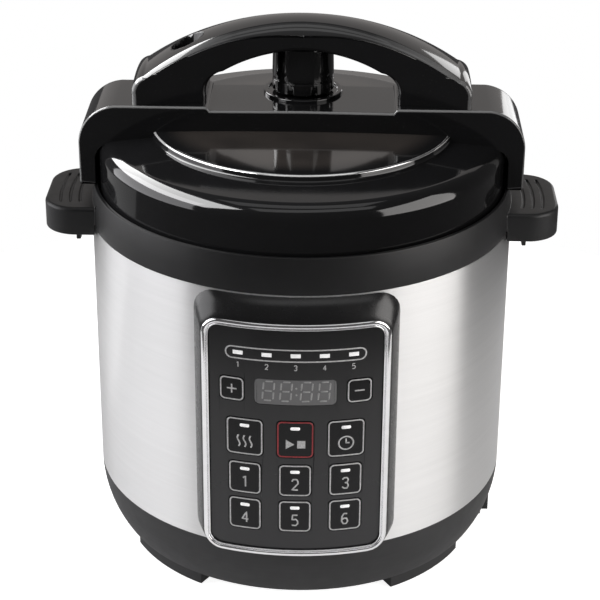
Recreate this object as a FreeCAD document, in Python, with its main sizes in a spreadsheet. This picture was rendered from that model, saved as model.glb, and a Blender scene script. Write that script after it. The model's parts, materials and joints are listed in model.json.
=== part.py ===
import FreeCAD, Part
import math
import os
import re
import Sketcher

# Electric pressure cooker, about three litres.
# Millimetres, +Z up, front towards -Y, origin on the counter under the axis of the pot.

# Driving sizes
SIZES = {
    # Clearances: a located fit, a rest between pieces that lift apart, a gap between moving pieces, a shaft
    "fit_gap": 0.2,
    "rest_gap": 0.1,
    "run_gap": 0.5,
    "shaft_gap": 0.06,
    "through_cut": 2,
    # Levels of the outer body
    "base_bottom": 9,
    "sleeve_bottom": 40.6,
    "sleeve_top": 183.4,
    "collar_top": 202.4,
    # Steel sleeve and the base below it
    "sleeve_radius": 110,
    "sleeve_wall": 0.6,
    "base_floor_radius": 100,
    "base_bulge": 2.5,
    "base_wall": 2.5,
    "lip_height": 7,
    "foot_outer_radius": 97.4,
    "foot_inner_radius": 82,
    "foot_start": 31,
    "foot_sweep": 32,
    "foot_root": 1,
    "pad_height": 2.8,
    "pad_proud": 0.8,
    "pad_inset": 2.5,
    "pad_turn_inset": 2,
    # Cover under the base
    "cover_radius": 78,
    "cover_lap": 6,
    "cover_thickness": 2,
    "vent_count": 12,
    "vent_inner": 34,
    "vent_length": 26,
    "vent_width": 4,
    "screw_radius": 1.5,
    "screw_head_radius": 2.8,
    "screw_head": 1.8,
    # Collar with its gutter and the two side handles
    "collar_top_radius": 108.6,
    "collar_wall": 2,
    "collar_bulge": 0.3,
    "gutter_floor": 3,
    "handle_length": 23.7,
    "handle_half_width": 29,
    "handle_corner": 17,
    "handle_top": 193,
    "handle_bottom": 178,
    "handle_wall": 2.6,
    "handle_edge": 2,
    "handle_root": 94,
    "grip_count": 3,
    "grip_pitch": 5,
    "grip_inset": 5.5,
    "grip_width": 1.4,
    "grip_depth": 0.8,
    "grip_half_length": 20,
    "tab_drop": 6,
    "tab_width": 5,
    "tab_offset": 18,
    "tab_thickness": 2.2,
    # Control panel on the front
    "panel_low": 41.8,
    "panel_high": 171.9,
    "hood_top": 182.6,
    "panel_half_width": 46.2,
    "housing_half_width": 50.2,
    "housing_root": 88,
    "panel_corner": 9,
    "panel_proud": 7.2,
    "trim_proud": 1.4,
    "trim_width": 3.2,
    "fascia_sink": 0.4,
    "fascia_thickness": 2.8,
    "fascia_ledge": 3,
    "key_proud": 0.2,
    "key_thickness": 4,
    "key_gap": 0.25,
    "key_corner": 2.4,
    "key_travel": 0.5,
    "key_stem_radius": 2.5,
    "key_pitch": 25,
    "time_key_offset": 31.2,
    "time_key_width": 12.2,
    "time_key_height": 13,
    "time_key_level": 134.6,
    "main_key_width": 18.3,
    "main_key_height": 20.5,
    "main_key_level": 108.6,
    "menu_key_width": 16.3,
    "menu_key_height": 18,
    "menu_key_level": 85.3,
    "menu_key_drop": 20.7,
    "window_width": 40,
    "window_height": 13.7,
    "window_thickness": 1.4,
    "module_depth": 8,
    "light_count": 5,
    "light_pitch": 14.05,
    "light_width": 4.8,
    "light_height": 2,
    "light_level": 154.6,
    "light_length": 6,
    "board_setback": 13.8,
    "board_thickness": 1.6,
    "board_half_width": 38.2,
    "switch_side": 6,
    "switch_height": 3,
    "post_radius": 3,
    "post_offset": 35,
    # Outer pot with its lock flange
    "chamber_radius": 94,
    "chamber_wall": 1.4,
    "chamber_floor": 46,
    "chamber_hole": 24,
    "hanger_radius": 101,
    "flange_top": 199.4,
    "flange_height": 3,
    "flange_radius": 95.4,
    "lug_radius": 99.4,
    "lug_count": 8,
    "lug_sweep": 20,
    # Heater
    "plate_radius": 84,
    "plate_top": 72,
    "plate_thickness": 12,
    "plate_hole": 13,
    "element_radius": 62,
    "element_section": 4.5,
    "element_sweep": 330,
    "terminal_length": 8,
    "terminal_radius": 2,
    "standoff_count": 3,
    "standoff_radius": 4,
    "standoff_circle": 42,
    "sensor_radius": 11,
    "sensor_height": 7,
    "sensor_sleeve_radius": 8,
    "sensor_sleeve_wall": 1,
    "switch_can_radius": 27,
    "switch_can_height": 11,
    "fuse_radius": 3,
    "fuse_length": 16,
    # Power board and inlet
    "power_board_half_x": 44,
    "power_board_half_y": 34,
    "power_board_level": 20,
    "part_side": 18,
    "part_height": 13,
    "capacitor_radius": 6,
    "inlet_face": 106,
    "inlet_depth": 24,
    "inlet_low": 5,
    "inlet_height": 27,
    "inlet_centre": 8,
    "inlet_width": 36,
    "inlet_wall": 4,
    "inlet_recess": 17,
    "inlet_rib": 3,
    "inlet_step": 4,
    "pin_width": 4,
    "pin_thickness": 2,
    "pin_length": 14,
    "pin_pitch": 7,
    "pin_rise": 2,
    # Condensate cup behind
    "cup_proud": 12.5,
    "cup_half_width": 24,
    "cup_low": 130,
    "cup_height": 40,
    "cup_wall": 1.5,
    "holder_thickness": 2,
    "holder_margin": 4,
    "spout_half_width": 4,
    "spout_reach": 116,
    "spout_drop": 4,
    "spout_notch": 3,
    # Inner pot
    "pot_radius": 91.2,
    "pot_wall": 1,
    "pot_corner": 8,
    "pot_rim": 1.5,
    "pot_rim_radius": 95.2,
    # Inner lid, which hangs on a post under the lid
    "liner_level": 205,
    "liner_thickness": 1.2,
    "liner_radius": 88,
    "seal_height": 8,
    "seal_shoulder": 6.4,
    "seal_width": 5.5,
    "seal_gap": 0.3,
    "post_pin_radius": 3.5,
    "post_top": 224.5,
    "knob_nub_radius": 8,
    "knob_nub_height": 6,
    # Lid
    "lid_radius": 103,
    "lid_wall": 1.6,
    "lid_skirt_bottom": 192,
    "shoulder_level": 222,
    "shoulder_rise": 4.6,
    "shoulder_run": 4.6,
    "plateau_radius": 78,
    "plateau_flat": 40,
    "plateau_level": 232.5,
    "plateau_crown": 1.2,
    "plateau_step": 3,
    "plateau_round": 2,
    "roof_wall": 2.4,
    "shell_gap": 0.2,
    "shell_wall": 1.2,
    "shell_top": 220.5,
    "shell_corner": 8,
    "shell_bottom": 190,
    "lug_height": 3,
    "lug_gap": 0.6,
    "boss_radius": 5,
    "lid_screw_circle": 62,
    "lid_screw_length": 9,
    # Bridge over the lid
    "bridge_half_length": 114,
    "bridge_half_width": 21,
    "bridge_top": 244,
    "ear_top": 246,
    "ear_inner": 48.5,
    "ear_corner_x": 19,
    "ear_corner_z": 21,
    "ear_round": 5.6,
    "ear_gap": 1,
    "bridge_wall": 2.5,
    "tower_radius": 20.5,
    # Carrying handle on the bridge
    "arch_top": 288,
    "arch_half_length": 86,
    "arch_shoulder_level": 262,
    "arch_shoulder_run": 6,
    "arch_shoulder_drop": 9,
    "arch_shoulder_round": 2.6,
    "arch_under": 273.4,
    "arch_inner_corner_x": 9,
    "arch_inner_corner_z": 13,
    "arch_inner_round": 3.6,
    "arch_inner_leg": 4,
    "arch_half_depth": 13.3,
    "arch_flare": 6.7,
    "arch_edge": 3,
    # Steam valve
    "valve_offset": 11.5,
    "knob_radius": 16,
    "knob_top": 271.5,
    "knob_groove_rise": 6,
    "knob_groove": 0.8,
    "knob_notches": 8,
    "knob_notch_width": 2,
    "knob_notch_height": 2.5,
    "stem_radius": 4,
    "stem_bore": 1.8,
    "stem_top": 258,
    "weight_radius": 7,
    "weight_height": 6,
    "nut_radius": 6,
    "nut_height": 3,
    "shield_radius": 6.2,
    "shield_height": 6,
    "shield_wall": 0.8,
    "slot_rise": 1.8,
    "slot_height": 1.8,
    # Float valve
    "float_offset": 59,
    "float_radius": 2.2,
    "float_head_radius": 4.6,
    "float_head": 3,
    "float_rise": 5,
    "float_foot_radius": 5,
    "float_foot": 2,
    "float_seal": 1.5,
    "guide_radius": 4.4,
    "guide_top": 250,
    "well_radius": 7.5,
    "well_floor": 260,
}

# Rise of a quarter-round corner over its chord, for a corner of radius one
CORNER_RISE = 1 - math.cos(math.radians(45))

# Length of the tools that cut right through, well past the object
FAR = 400

# How near an edge lies to the place where it is looked for
EDGE_TOLERANCE = 0.01

# Angles of four pieces on the axes and between them
ON_AXES = (0, 90, 180, 270)
BETWEEN_AXES = (45, 135, 225, 315)

doc = FreeCAD.newDocument("pressure_cooker")
sheet = doc.addObject("Spreadsheet::Sheet", "sizes")
for row, (alias, number) in enumerate(SIZES.items(), 1):
    sheet.set("A%d" % row, str(number))
    sheet.setAlias("A%d" % row, alias)
doc.recompute()

nodes = {}


def bound(text):
    """The expression with each size named as a cell of the sheet."""
    def cell(word):
        return "sizes." + word.group() if word.group() in SIZES else word.group()
    return re.sub(r"[a-z_]+", cell, str(text))


def value(text):
    """The number that an expression on the sizes gives."""
    result = sheet.evalExpression(bound(text))
    return float(getattr(result, "Value", result))


def bind(item, **properties):
    for name, text in properties.items():
        item.setExpression(name, bound(text))


def place(item, x=0, y=0, z=0, turn=0):
    item.setExpression("Placement.Base.x", bound(x))
    item.setExpression("Placement.Base.y", bound(y))
    item.setExpression("Placement.Base.z", bound(z))
    if turn:
        item.setExpression("Placement.Rotation.Angle", bound(turn))
    return item


def node(label, item):
    """Names a finished piece."""
    item.Label = label
    nodes[label] = item
    return item


def cylinder(radius, low, high, x=0, y=0, sweep=360, turn=0):
    item = doc.addObject("Part::Cylinder", "cylinder")
    bind(item, Radius=radius, Height=f"({high}) - ({low})", Angle=sweep)
    return place(item, x, y, low, turn)


def rod_along_y(radius, low, high, x, z):
    """A rod from y = low to y = high."""
    item = doc.addObject("Part::Cylinder", "rod")
    bind(item, Radius=radius, Height=f"({high}) - ({low})")
    item.Placement.Rotation = FreeCAD.Rotation(FreeCAD.Vector(1, 0, 0), -90)
    return place(item, x, low, z)


def box(x_low, x_high, y_low, y_high, z_low, z_high):
    item = doc.addObject("Part::Box", "box")
    bind(item, Length=f"({x_high}) - ({x_low})", Width=f"({y_high}) - ({y_low})")
    bind(item, Height=f"({z_high}) - ({z_low})")
    return place(item, x_low, y_low, z_low)


def turned_box(x_low, x_high, half_width, z_low, z_high, turn):
    """A box along a radius, turned about the axis of the pot."""
    blank = box(x_low, x_high, f"0 - ({half_width})", half_width, z_low, z_high)
    return turn_copy(blank, turn)


def turn_copy(item, turn):
    carrier = doc.addObject("Part::Compound", "turned")
    carrier.Links = [item]
    return place(carrier, turn=turn)


def cut(base, *tools):
    """The base less each tool in turn."""
    for tool in tools:
        item = doc.addObject("Part::Cut", "cut")
        item.Base = base
        item.Tool = tool
        base = item
    return base


def pierce(base, tools):
    """The base less several tools that lie apart from each other."""
    return cut(base, group(tools))


def fuse(*solids):
    item = doc.addObject("Part::MultiFuse", "fuse")
    item.Shapes = list(solids)
    item.Refine = True
    return item


def common(*solids):
    item = doc.addObject("Part::MultiCommon", "common")
    item.Shapes = list(solids)
    return item


def group(solids):
    item = doc.addObject("Part::Compound", "group")
    item.Links = list(solids)
    return item


def mirrored(item, normal=(1, 0, 0)):
    copy = doc.addObject("Part::Mirroring", "mirrored")
    copy.Source = item
    copy.Normal = FreeCAD.Vector(*normal)
    return copy


def ring(outer, inner, low, high, sweep=360, turn=0):
    blank = cylinder(outer, low, high, sweep=sweep, turn=turn)
    return cut(blank, cylinder(inner, f"({low}) - through_cut", f"({high}) + through_cut"))


def outline(body, role, points):
    """A closed sketch. A point is (across, up) or (across, up, bulge), where the bulge is the rise
    of the arc that arrives at the point, to the left of its way if positive."""
    plane = next(item for item in body.Origin.OriginFeatures if item.Role == role)
    sketch = body.newObject("Sketcher::SketchObject", "outline")
    sketch.AttachmentSupport = [(plane, "")]
    sketch.MapMode = "FlatFace"
    corners = [FreeCAD.Vector(value(point[0]), value(point[1]), 0) for point in points]
    ends = []
    for index, start in enumerate(corners):
        after = (index + 1) % len(points)
        stop = corners[after]
        if len(points[after]) == 2:
            ends.append((sketch.addGeometry(Part.LineSegment(start, stop)), 1, 2))
            continue
        rise = value(points[after][2])
        chord = stop - start
        left = FreeCAD.Vector(-chord.y, chord.x, 0).normalize()
        middle = (start + stop) / 2 + left * rise
        if rise > 0:
            ends.append((sketch.addGeometry(Part.Arc(stop, middle, start)), 2, 1))
        else:
            ends.append((sketch.addGeometry(Part.Arc(start, middle, stop)), 1, 2))
        across = f"(({points[after][0]}) - ({points[index][0]}))"
        up = f"(({points[after][1]}) - ({points[index][1]}))"
        size = f"abs({points[after][2]})"
        radius = f"({across} * {across} + {up} * {up}) / (8 * {size}) + {size} / 2"
        constrain(sketch, radius, "Radius", ends[-1][0])
    for index, (edge, first, last) in enumerate(ends):
        following = ends[(index + 1) % len(ends)]
        sketch.addConstraint(Sketcher.Constraint("Coincident", edge, last, following[0], following[1]))
        fix(sketch, points[index], edge, first)
    return sketch


def constrain(sketch, text, kind, *references):
    index = sketch.addConstraint(Sketcher.Constraint(kind, *references, value(text)))
    sketch.setExpression("Constraints[%d]" % index, bound(text))


def fix(sketch, point, edge, end):
    """Ties one corner of a sketch to its two coordinates."""
    if str(point[0]) == "0":
        sketch.addConstraint(Sketcher.Constraint("PointOnObject", edge, end, -2))
    else:
        constrain(sketch, point[0], "DistanceX", -1, 1, edge, end)
    if str(point[1]) == "0":
        sketch.addConstraint(Sketcher.Constraint("PointOnObject", edge, end, -1))
    else:
        constrain(sketch, point[1], "DistanceY", -1, 1, edge, end)


def turned(points):
    """A body of revolution about the axis of the pot, from points (radius, level)."""
    body = doc.addObject("PartDesign::Body", "turned")
    sketch = outline(body, "XZ_Plane", points)
    feature = body.newObject("PartDesign::Revolution", "revolution")
    feature.Profile = sketch
    feature.ReferenceAxis = (sketch, ["V_Axis"])
    feature.Angle = 360
    return body


def prism(role, points, length, both_ways=False):
    """A pad of an outline: up from the floor plane, or forwards from the XZ plane, or both ways."""
    body = doc.addObject("PartDesign::Body", "prism")
    sketch = outline(body, role, points)
    feature = body.newObject("PartDesign::Pad", "pad")
    feature.Profile = sketch
    feature.SideType = "Symmetric" if both_ways else "One side"
    bind(feature, Length=length)
    return body


def plan_prism(points, low, high):
    return place(prism("XY_Plane", points, f"({high}) - ({low})"), z=low)


def rounded_rectangle(left, right, low, high, corner):
    """Outline of a rectangle with quarter-round corners."""
    bulge = f"0 - {CORNER_RISE} * ({corner})"
    return [
        (f"({left}) + ({corner})", low, bulge),
        (f"({right}) - ({corner})", low),
        (right, f"({low}) + ({corner})", bulge),
        (right, f"({high}) - ({corner})"),
        (f"({right}) - ({corner})", high, bulge),
        (f"({left}) + ({corner})", high),
        (left, f"({high}) - ({corner})", bulge),
        (left, f"({low}) + ({corner})"),
    ]


def front_prism(half_width, low, high, corner, middle="0"):
    """A rounded bar from the axis of the pot forwards, which trims the panel's curved pieces."""
    points = rounded_rectangle(f"{middle} - ({half_width})", f"{middle} + ({half_width})", low, high, corner)
    return prism("XZ_Plane", points, f"{TRIM_RADIUS} + through_cut")


def rounded_edges(item, radius, chosen):
    """Rounds the edges that the test picks."""
    doc.recompute()
    feature = doc.addObject("Part::Fillet", "rounded")
    feature.Base = item
    size = value(radius)
    picked = [index for index, edge in enumerate(item.Shape.Edges, 1) if chosen(edge)]
    feature.Edges = [(index, size, size) for index in picked]
    return feature


def screw(x, y, seat, length, up=True):
    """A screw whose head bears on the seat, with its shank up or down from there."""
    if up:
        head = cylinder("screw_head_radius", f"({seat}) - screw_head", seat, x, y)
        shank = cylinder("screw_radius", seat, f"({seat}) + ({length})", x, y)
    else:
        head = cylinder("screw_head_radius", seat, f"({seat}) + screw_head", x, y)
        shank = cylinder("screw_radius", f"({seat}) - ({length})", seat, x, y)
    return fuse(head, shank)


def polar(radius, angle):
    """Cartesian place of a point at a radius and an angle in degrees."""
    return f"({radius}) * cos({angle})", f"({radius}) * sin({angle})"


# Places that several pieces share
HOUSING_RADIUS = "(sleeve_radius + panel_proud)"
TRIM_RADIUS = f"({HOUSING_RADIUS} + trim_proud)"
FASCIA_RADIUS = f"({HOUSING_RADIUS} - fascia_sink)"
BOARD_FRONT = f"({FASCIA_RADIUS} - board_setback)"
HANDLE_REACH = "(sleeve_radius + handle_length)"
GRIP_INNER = "(sleeve_radius + grip_inset)"
CUP_REACH = "(sleeve_radius + cup_proud)"
LIP_RADIUS = "sleeve_radius - sleeve_wall - fit_gap"
COLLAR_INNER = "collar_top_radius - collar_wall"
GUTTER_TOP = "sleeve_top + gutter_floor"
COVER_OPENING = "cover_radius - cover_lap"
COVER_BOTTOM = "base_bottom - cover_thickness"
HOUSING_SEAT = "sleeve_radius + rest_gap"
FASCIA_BACK = f"{FASCIA_RADIUS} - fascia_thickness"
FASCIA_HALF_WIDTH = "panel_half_width - trim_width"
WINDOW_LOW = "panel_low + trim_width + fascia_ledge"
WINDOW_HIGH = "panel_high - trim_width - fascia_ledge"
BOARD_LOW = f"{WINDOW_LOW} + fit_gap"
BOARD_HIGH = f"{WINDOW_HIGH} - fit_gap"
BOARD_BACK = f"{BOARD_FRONT} - board_thickness"
FLANGE_BOTTOM = "flange_top - flange_height"
CHAMBER_INNER = "chamber_radius - chamber_wall"
PLATE_BOTTOM = "plate_top - plate_thickness"
POT_BOTTOM = "plate_top + rest_gap"
POT_RIM_BOTTOM = "flange_top + rest_gap"
SHELL_RADIUS = "lid_radius - lid_wall - shell_gap"
SHELL_UNDER = "shell_top - shell_wall"
TOWER_TOP = "ear_top"
GASKET_LOW = f"{SHELL_UNDER} - float_rise - float_seal - rest_gap"


def foot_turns():
    """Where each foot starts, in degrees from +X: two in front and two behind."""
    ends = "foot_start + foot_sweep"
    return ["foot_start - 90", f"0 - 90 - ({ends})", f"90 - ({ends})", "90 + foot_start"]


def cover_screw_places():
    middle = "cover_radius - cover_lap / 2"
    return [polar(middle, angle) for angle in ON_AXES]


def cover_screws():
    return [screw(x, y, COVER_BOTTOM, "cover_thickness + base_wall") for x, y in cover_screw_places()]


def base_shell():
    """Bowl of the base with a lip that locates the sleeve, four feet and the inlet's opening."""
    bowl = turned([
        (COVER_OPENING, "base_bottom"),
        ("base_floor_radius", "base_bottom"),
        ("sleeve_radius", "sleeve_bottom", "0 - base_bulge"),
        (LIP_RADIUS, "sleeve_bottom"),
        (LIP_RADIUS, "sleeve_bottom + lip_height"),
        (f"{LIP_RADIUS} - base_wall", "sleeve_bottom + lip_height"),
        (f"{LIP_RADIUS} - base_wall", "sleeve_bottom"),
        ("base_floor_radius - base_wall", "base_bottom + base_wall", "base_bulge"),
        (COVER_OPENING, "base_bottom + base_wall"),
    ])
    feet = []
    pockets = []
    for turn in foot_turns():
        feet.append(ring("foot_outer_radius", "foot_inner_radius", "pad_proud", "base_bottom + foot_root",
                         "foot_sweep", turn))
        pockets.append(foot_pad(turn, "pad_inset - fit_gap", "0 - through_cut"))
    opening = inlet_block("fit_gap")
    holes = [cylinder("screw_radius + fit_gap", COVER_BOTTOM, "base_bottom + base_wall + through_cut", x, y)
             for x, y in cover_screw_places()]
    return pierce(cut(fuse(bowl, *feet), opening), pockets + holes)


def foot_pad(turn, inset, low):
    return ring(f"foot_outer_radius - ({inset})", f"foot_inner_radius + ({inset})", low, "pad_height",
                f"foot_sweep - 2 * pad_turn_inset + 2 * (pad_inset - ({inset}))",
                f"{turn} + pad_turn_inset - (pad_inset - ({inset}))")


def inlet_block(gap):
    """Outside of the inlet's housing, with a step and a rib below."""
    low_y = f"inlet_centre - inlet_width / 2 - {gap}"
    high_y = f"inlet_centre + inlet_width / 2 + {gap}"
    block = box(f"inlet_face - inlet_depth - {gap}", "inlet_face", low_y, high_y,
                f"inlet_low - {gap}", f"inlet_low + inlet_height + {gap}")
    rib = box(f"inlet_face - inlet_depth - {gap}", "inlet_face - inlet_step", low_y, high_y,
              "inlet_low - inlet_rib", "inlet_low")
    return fuse(block, rib)


def power_inlet():
    half_width = "(inlet_width / 2 - inlet_wall)"
    recess = box("inlet_face - inlet_recess", "inlet_face + through_cut",
                 f"inlet_centre - {half_width}", f"inlet_centre + {half_width}",
                 "inlet_low + inlet_wall", "inlet_low + inlet_height - inlet_wall")
    sockets = [inlet_pin(across, rise, "fit_gap") for across, rise in pin_places()]
    return pierce(cut(inlet_block("0"), recess), sockets)


def pin_places():
    return [("0 - pin_pitch", "0 - pin_rise"), ("pin_pitch", "0 - pin_rise"), ("0", "pin_rise")]


def inlet_pin(across, rise, gap):
    middle = f"inlet_low + inlet_height / 2 + {rise}"
    return box("inlet_face - inlet_depth - inlet_wall", "inlet_face - inlet_recess + pin_length",
               f"inlet_centre + {across} - pin_thickness / 2 - {gap}",
               f"inlet_centre + {across} + pin_thickness / 2 + {gap}",
               f"{middle} - pin_width / 2 - {gap}", f"{middle} + pin_width / 2 + {gap}")


def bottom_cover():
    """Round plate under the base, with radial vents and posts for the power board."""
    disc = cylinder("cover_radius", COVER_BOTTOM, "base_bottom")
    posts = [cylinder("post_radius", f"{COVER_BOTTOM} + cover_thickness / 2", "power_board_level", x, y)
             for x, y in power_post_places()]
    count = int(value("vent_count"))
    vents = [turned_box("vent_inner", "vent_inner + vent_length", "vent_width / 2",
                        f"{COVER_BOTTOM} - through_cut", "base_bottom + through_cut",
                        f"{index + 0.5} * 360 / vent_count") for index in range(count)]
    holes = [cylinder("screw_radius + fit_gap", f"{COVER_BOTTOM} - through_cut", "base_bottom + through_cut",
                      x, y) for x, y in cover_screw_places()]
    return fuse(pierce(disc, vents + holes), *posts)


def power_post_places():
    x = "(power_board_half_x - 2 * post_radius)"
    y = "(power_board_half_y - 2 * post_radius)"
    return [(f"{sign_x} * {x}", f"{sign_y} * {y}") for sign_x in (-1, 1) for sign_y in (-1, 1)]


def steel_sleeve():
    wall = ring("sleeve_radius", "sleeve_radius - sleeve_wall", "sleeve_bottom", "sleeve_top")
    half_width = f"({FASCIA_HALF_WIDTH})"
    window = box(f"0 - {half_width}", half_width, f"0 - {FAR}", "0", WINDOW_LOW, WINDOW_HIGH)
    return cut(wall, window)


def handle_outline(inset):
    """Plan of the right side handle, from inside the collar to its rounded outer end."""
    half = f"(handle_half_width - ({inset}))"
    reach = f"({HANDLE_REACH} - ({inset}))"
    corner = "handle_corner"
    bulge = f"0 - {CORNER_RISE} * {corner}"
    return [
        ("handle_root", f"0 - {half}"),
        (f"{reach} - {corner}", f"0 - {half}"),
        (reach, f"0 - {half} + {corner}", bulge),
        (reach, f"{half} - {corner}"),
        (f"{reach} - {corner}", half, bulge),
        ("handle_root", half),
    ]


def side_handle():
    """Right side handle: a hollow grip open below, clear of the sleeve, with grooves on top."""
    blank = plan_prism(handle_outline("0"), "handle_bottom", "handle_top")
    top = value("handle_top")
    blank = rounded_edges(blank, "handle_edge", lambda edge: abs(edge.BoundBox.ZMin - top) < EDGE_TOLERANCE
                          and edge.BoundBox.XMax > value("sleeve_radius"))
    hollow = cut(plan_prism(handle_outline("handle_wall"), "handle_bottom - through_cut",
                            "handle_top - handle_wall"),
                 cylinder("sleeve_radius + handle_wall", "handle_bottom - 2 * through_cut", "handle_top"))
    inside = cylinder(f"{COLLAR_INNER} + collar_wall / 2", "handle_bottom - through_cut",
                      "handle_top + through_cut")
    sleeve_room = cylinder("sleeve_radius + fit_gap", "handle_bottom - through_cut", "sleeve_top")
    grooves = []
    limit = box("0", HANDLE_REACH, "0 - grip_half_length", "grip_half_length",
                "handle_top - grip_depth", "handle_top + through_cut")
    for index in range(int(value("grip_count"))):
        inner = f"{GRIP_INNER} + {index} * grip_pitch"
        groove = ring(f"{inner} + grip_width", inner, "handle_top - grip_depth", "handle_top + through_cut")
        grooves.append(common(groove, limit))
    return pierce(cut(blank, hollow, inside, sleeve_room), grooves)


def upper_collar():
    """Ring over the sleeve with a gutter inside, the two side handles and a drain spout behind."""
    gutter = turned([
        ("chamber_radius + fit_gap", "sleeve_top"),
        (f"{LIP_RADIUS} - base_wall", "sleeve_top"),
        (f"{LIP_RADIUS} - base_wall", "sleeve_top - lip_height"),
        (LIP_RADIUS, "sleeve_top - lip_height"),
        (LIP_RADIUS, "sleeve_top"),
        ("sleeve_radius", "sleeve_top"),
        ("collar_top_radius", "collar_top", "0 - collar_bulge"),
        (COLLAR_INNER, "collar_top"),
        (COLLAR_INNER, GUTTER_TOP),
        ("chamber_radius + fit_gap", GUTTER_TOP),
    ])
    right = side_handle()
    spout = box("0 - spout_half_width", "spout_half_width", "sleeve_radius - collar_wall", "spout_reach",
                f"{GUTTER_TOP} - spout_drop + gutter_floor", f"{GUTTER_TOP} + spout_notch")
    channel = box("0 - spout_half_width + collar_wall", "spout_half_width - collar_wall",
                  f"{COLLAR_INNER} - through_cut", "spout_reach - collar_wall", GUTTER_TOP,
                  f"{GUTTER_TOP} + 2 * spout_notch")
    drop = box("0 - spout_half_width + collar_wall", "spout_half_width - collar_wall",
               "sleeve_radius + collar_wall", "spout_reach - collar_wall", "sleeve_top - through_cut",
               GUTTER_TOP)
    holes = [cylinder("screw_radius + fit_gap", "sleeve_top - through_cut", f"{GUTTER_TOP} + through_cut",
                      x, y) for x, y in hanger_screw_places()]
    return pierce(cut(fuse(gutter, right, mirrored(right), spout), channel, drop), holes)


def hanger_screw_places():
    middle = "(chamber_radius + hanger_radius) / 2"
    return [polar(middle, angle) for angle in BETWEEN_AXES]


def hanger_screws():
    """Screws that hold the outer pot in the gutter."""
    return [screw(x, y, f"{GUTTER_TOP} + chamber_wall", "chamber_wall + gutter_floor", up=False)
            for x, y in hanger_screw_places()]


def handle_cover():
    """Plate that closes the right handle from below, with a snap tab beside the sleeve."""
    edge = "sleeve_radius + handle_wall + fit_gap"
    plate = cut(plan_prism(handle_outline("handle_wall + fit_gap"), "handle_bottom",
                           "handle_bottom + handle_wall"),
                cylinder(edge, "handle_bottom - through_cut", "handle_top"))
    inner = f"{edge} + tab_thickness"
    tabs = [box(inner, f"{inner} + tab_thickness", f"{side} * tab_offset - tab_width / 2",
                f"{side} * tab_offset + tab_width / 2", "handle_bottom - tab_drop",
                "handle_bottom + handle_wall / 2") for side in (-1, 1)]
    return fuse(plate, *tabs)


def wall_ring(outer, inner):
    """Upright ring that gives the curved pieces on the sleeve their front and back."""
    return ring(outer, inner, "base_bottom", "collar_top")


def panel_housing():
    """Frame on the sleeve with sloping sides, a sloping hood on top and a ledge for the fascia."""
    body = turned([
        (HOUSING_SEAT, "panel_low"),
        (HOUSING_RADIUS, "panel_low"),
        (HOUSING_RADIUS, "panel_high"),
        (HOUSING_SEAT, "hood_top"),
    ])
    spread = "(housing_half_width - panel_half_width)"
    plan = plan_prism([
        (f"0 - housing_half_width - {spread}", "0 - housing_root"),
        ("0 - panel_half_width", f"0 - {HOUSING_RADIUS}"),
        ("panel_half_width", f"0 - {HOUSING_RADIUS}"),
        (f"housing_half_width + {spread}", "0 - housing_root"),
    ], "base_bottom", "collar_top")
    face = front_prism("housing_half_width + through_cut", "panel_low", "hood_top", "panel_corner")
    seat = common(wall_ring(f"{HOUSING_RADIUS} + through_cut", f"{FASCIA_BACK} - rest_gap"),
                  front_prism(f"{FASCIA_HALF_WIDTH} + fit_gap", "panel_low + trim_width - fit_gap",
                              "panel_high - trim_width + fit_gap", "panel_corner - trim_width"))
    window = front_prism(f"{FASCIA_HALF_WIDTH} - fascia_ledge", WINDOW_LOW, WINDOW_HIGH,
                         "panel_corner - trim_width")
    return cut(common(body, plan, face), seat, window)


def chrome_trim():
    """Bright frame round the face of the panel."""
    lap = "trim_width + 2 * fit_gap"
    outer = front_prism("panel_half_width", "panel_low", "panel_high", "panel_corner")
    inner = front_prism(f"panel_half_width - ({lap})", f"panel_low + {lap}", f"panel_high - ({lap})",
                        "panel_corner - trim_width")
    return common(wall_ring(TRIM_RADIUS, f"{HOUSING_RADIUS} + rest_gap"), cut(outer, inner))


def key_table():
    """Name, place across, level, width and height of each key."""
    keys = []
    for side, name in ((-1, "hour"), (1, "minute")):
        keys.append((f"key_{name}", f"{side} * time_key_offset", "time_key_level",
                     "time_key_width", "time_key_height"))
    for column, name in enumerate(("warm", "start", "timer")):
        keys.append((f"key_{name}", f"{column - 1} * key_pitch", "main_key_level",
                     "main_key_width", "main_key_height"))
    for line in range(2):
        for column in range(3):
            keys.append((f"key_menu_{3 * line + column + 1}", f"{column - 1} * key_pitch",
                         f"menu_key_level - {line} * menu_key_drop", "menu_key_width", "menu_key_height"))
    return keys


def key_bar(across, level, width, height, gap):
    return front_prism(f"({width}) / 2 + {gap}", f"{level} - ({height}) / 2 - {gap}",
                       f"{level} + ({height}) / 2 + {gap}", f"key_corner + {gap}", across)


def key(across, level, width, height):
    """A key cap with the panel's curve and a stem that reaches back to its switch."""
    cap = common(wall_ring(f"{FASCIA_RADIUS} + key_proud", f"{FASCIA_RADIUS} - key_thickness"),
                 key_bar(across, level, width, height, "0"))
    stem = rod_along_y("key_stem_radius", f"0 - {FASCIA_RADIUS}",
                       f"0 - {BOARD_FRONT} - switch_height - key_travel - rest_gap", across, level)
    inside = common(stem, cylinder(f"{FASCIA_RADIUS} - key_thickness / 2", "base_bottom", "collar_top"))
    return fuse(cap, inside)


def board_post_places():
    return [(f"{side} * post_offset", level) for side in (-1, 1)
            for level in (f"{BOARD_LOW} + post_radius + run_gap", f"{BOARD_HIGH} - post_radius - run_gap")]


def light_places():
    middle = (int(value("light_count")) - 1) / 2
    return [f"{index - middle} * light_pitch" for index in range(int(value("light_count")))]


def light_bar(across, gap):
    return box(f"{across} - light_width / 2 - {gap}", f"{across} + light_width / 2 + {gap}",
               f"0 - {FAR}", "0", f"light_level - light_height / 2 - {gap}",
               f"light_level + light_height / 2 + {gap}")


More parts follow.
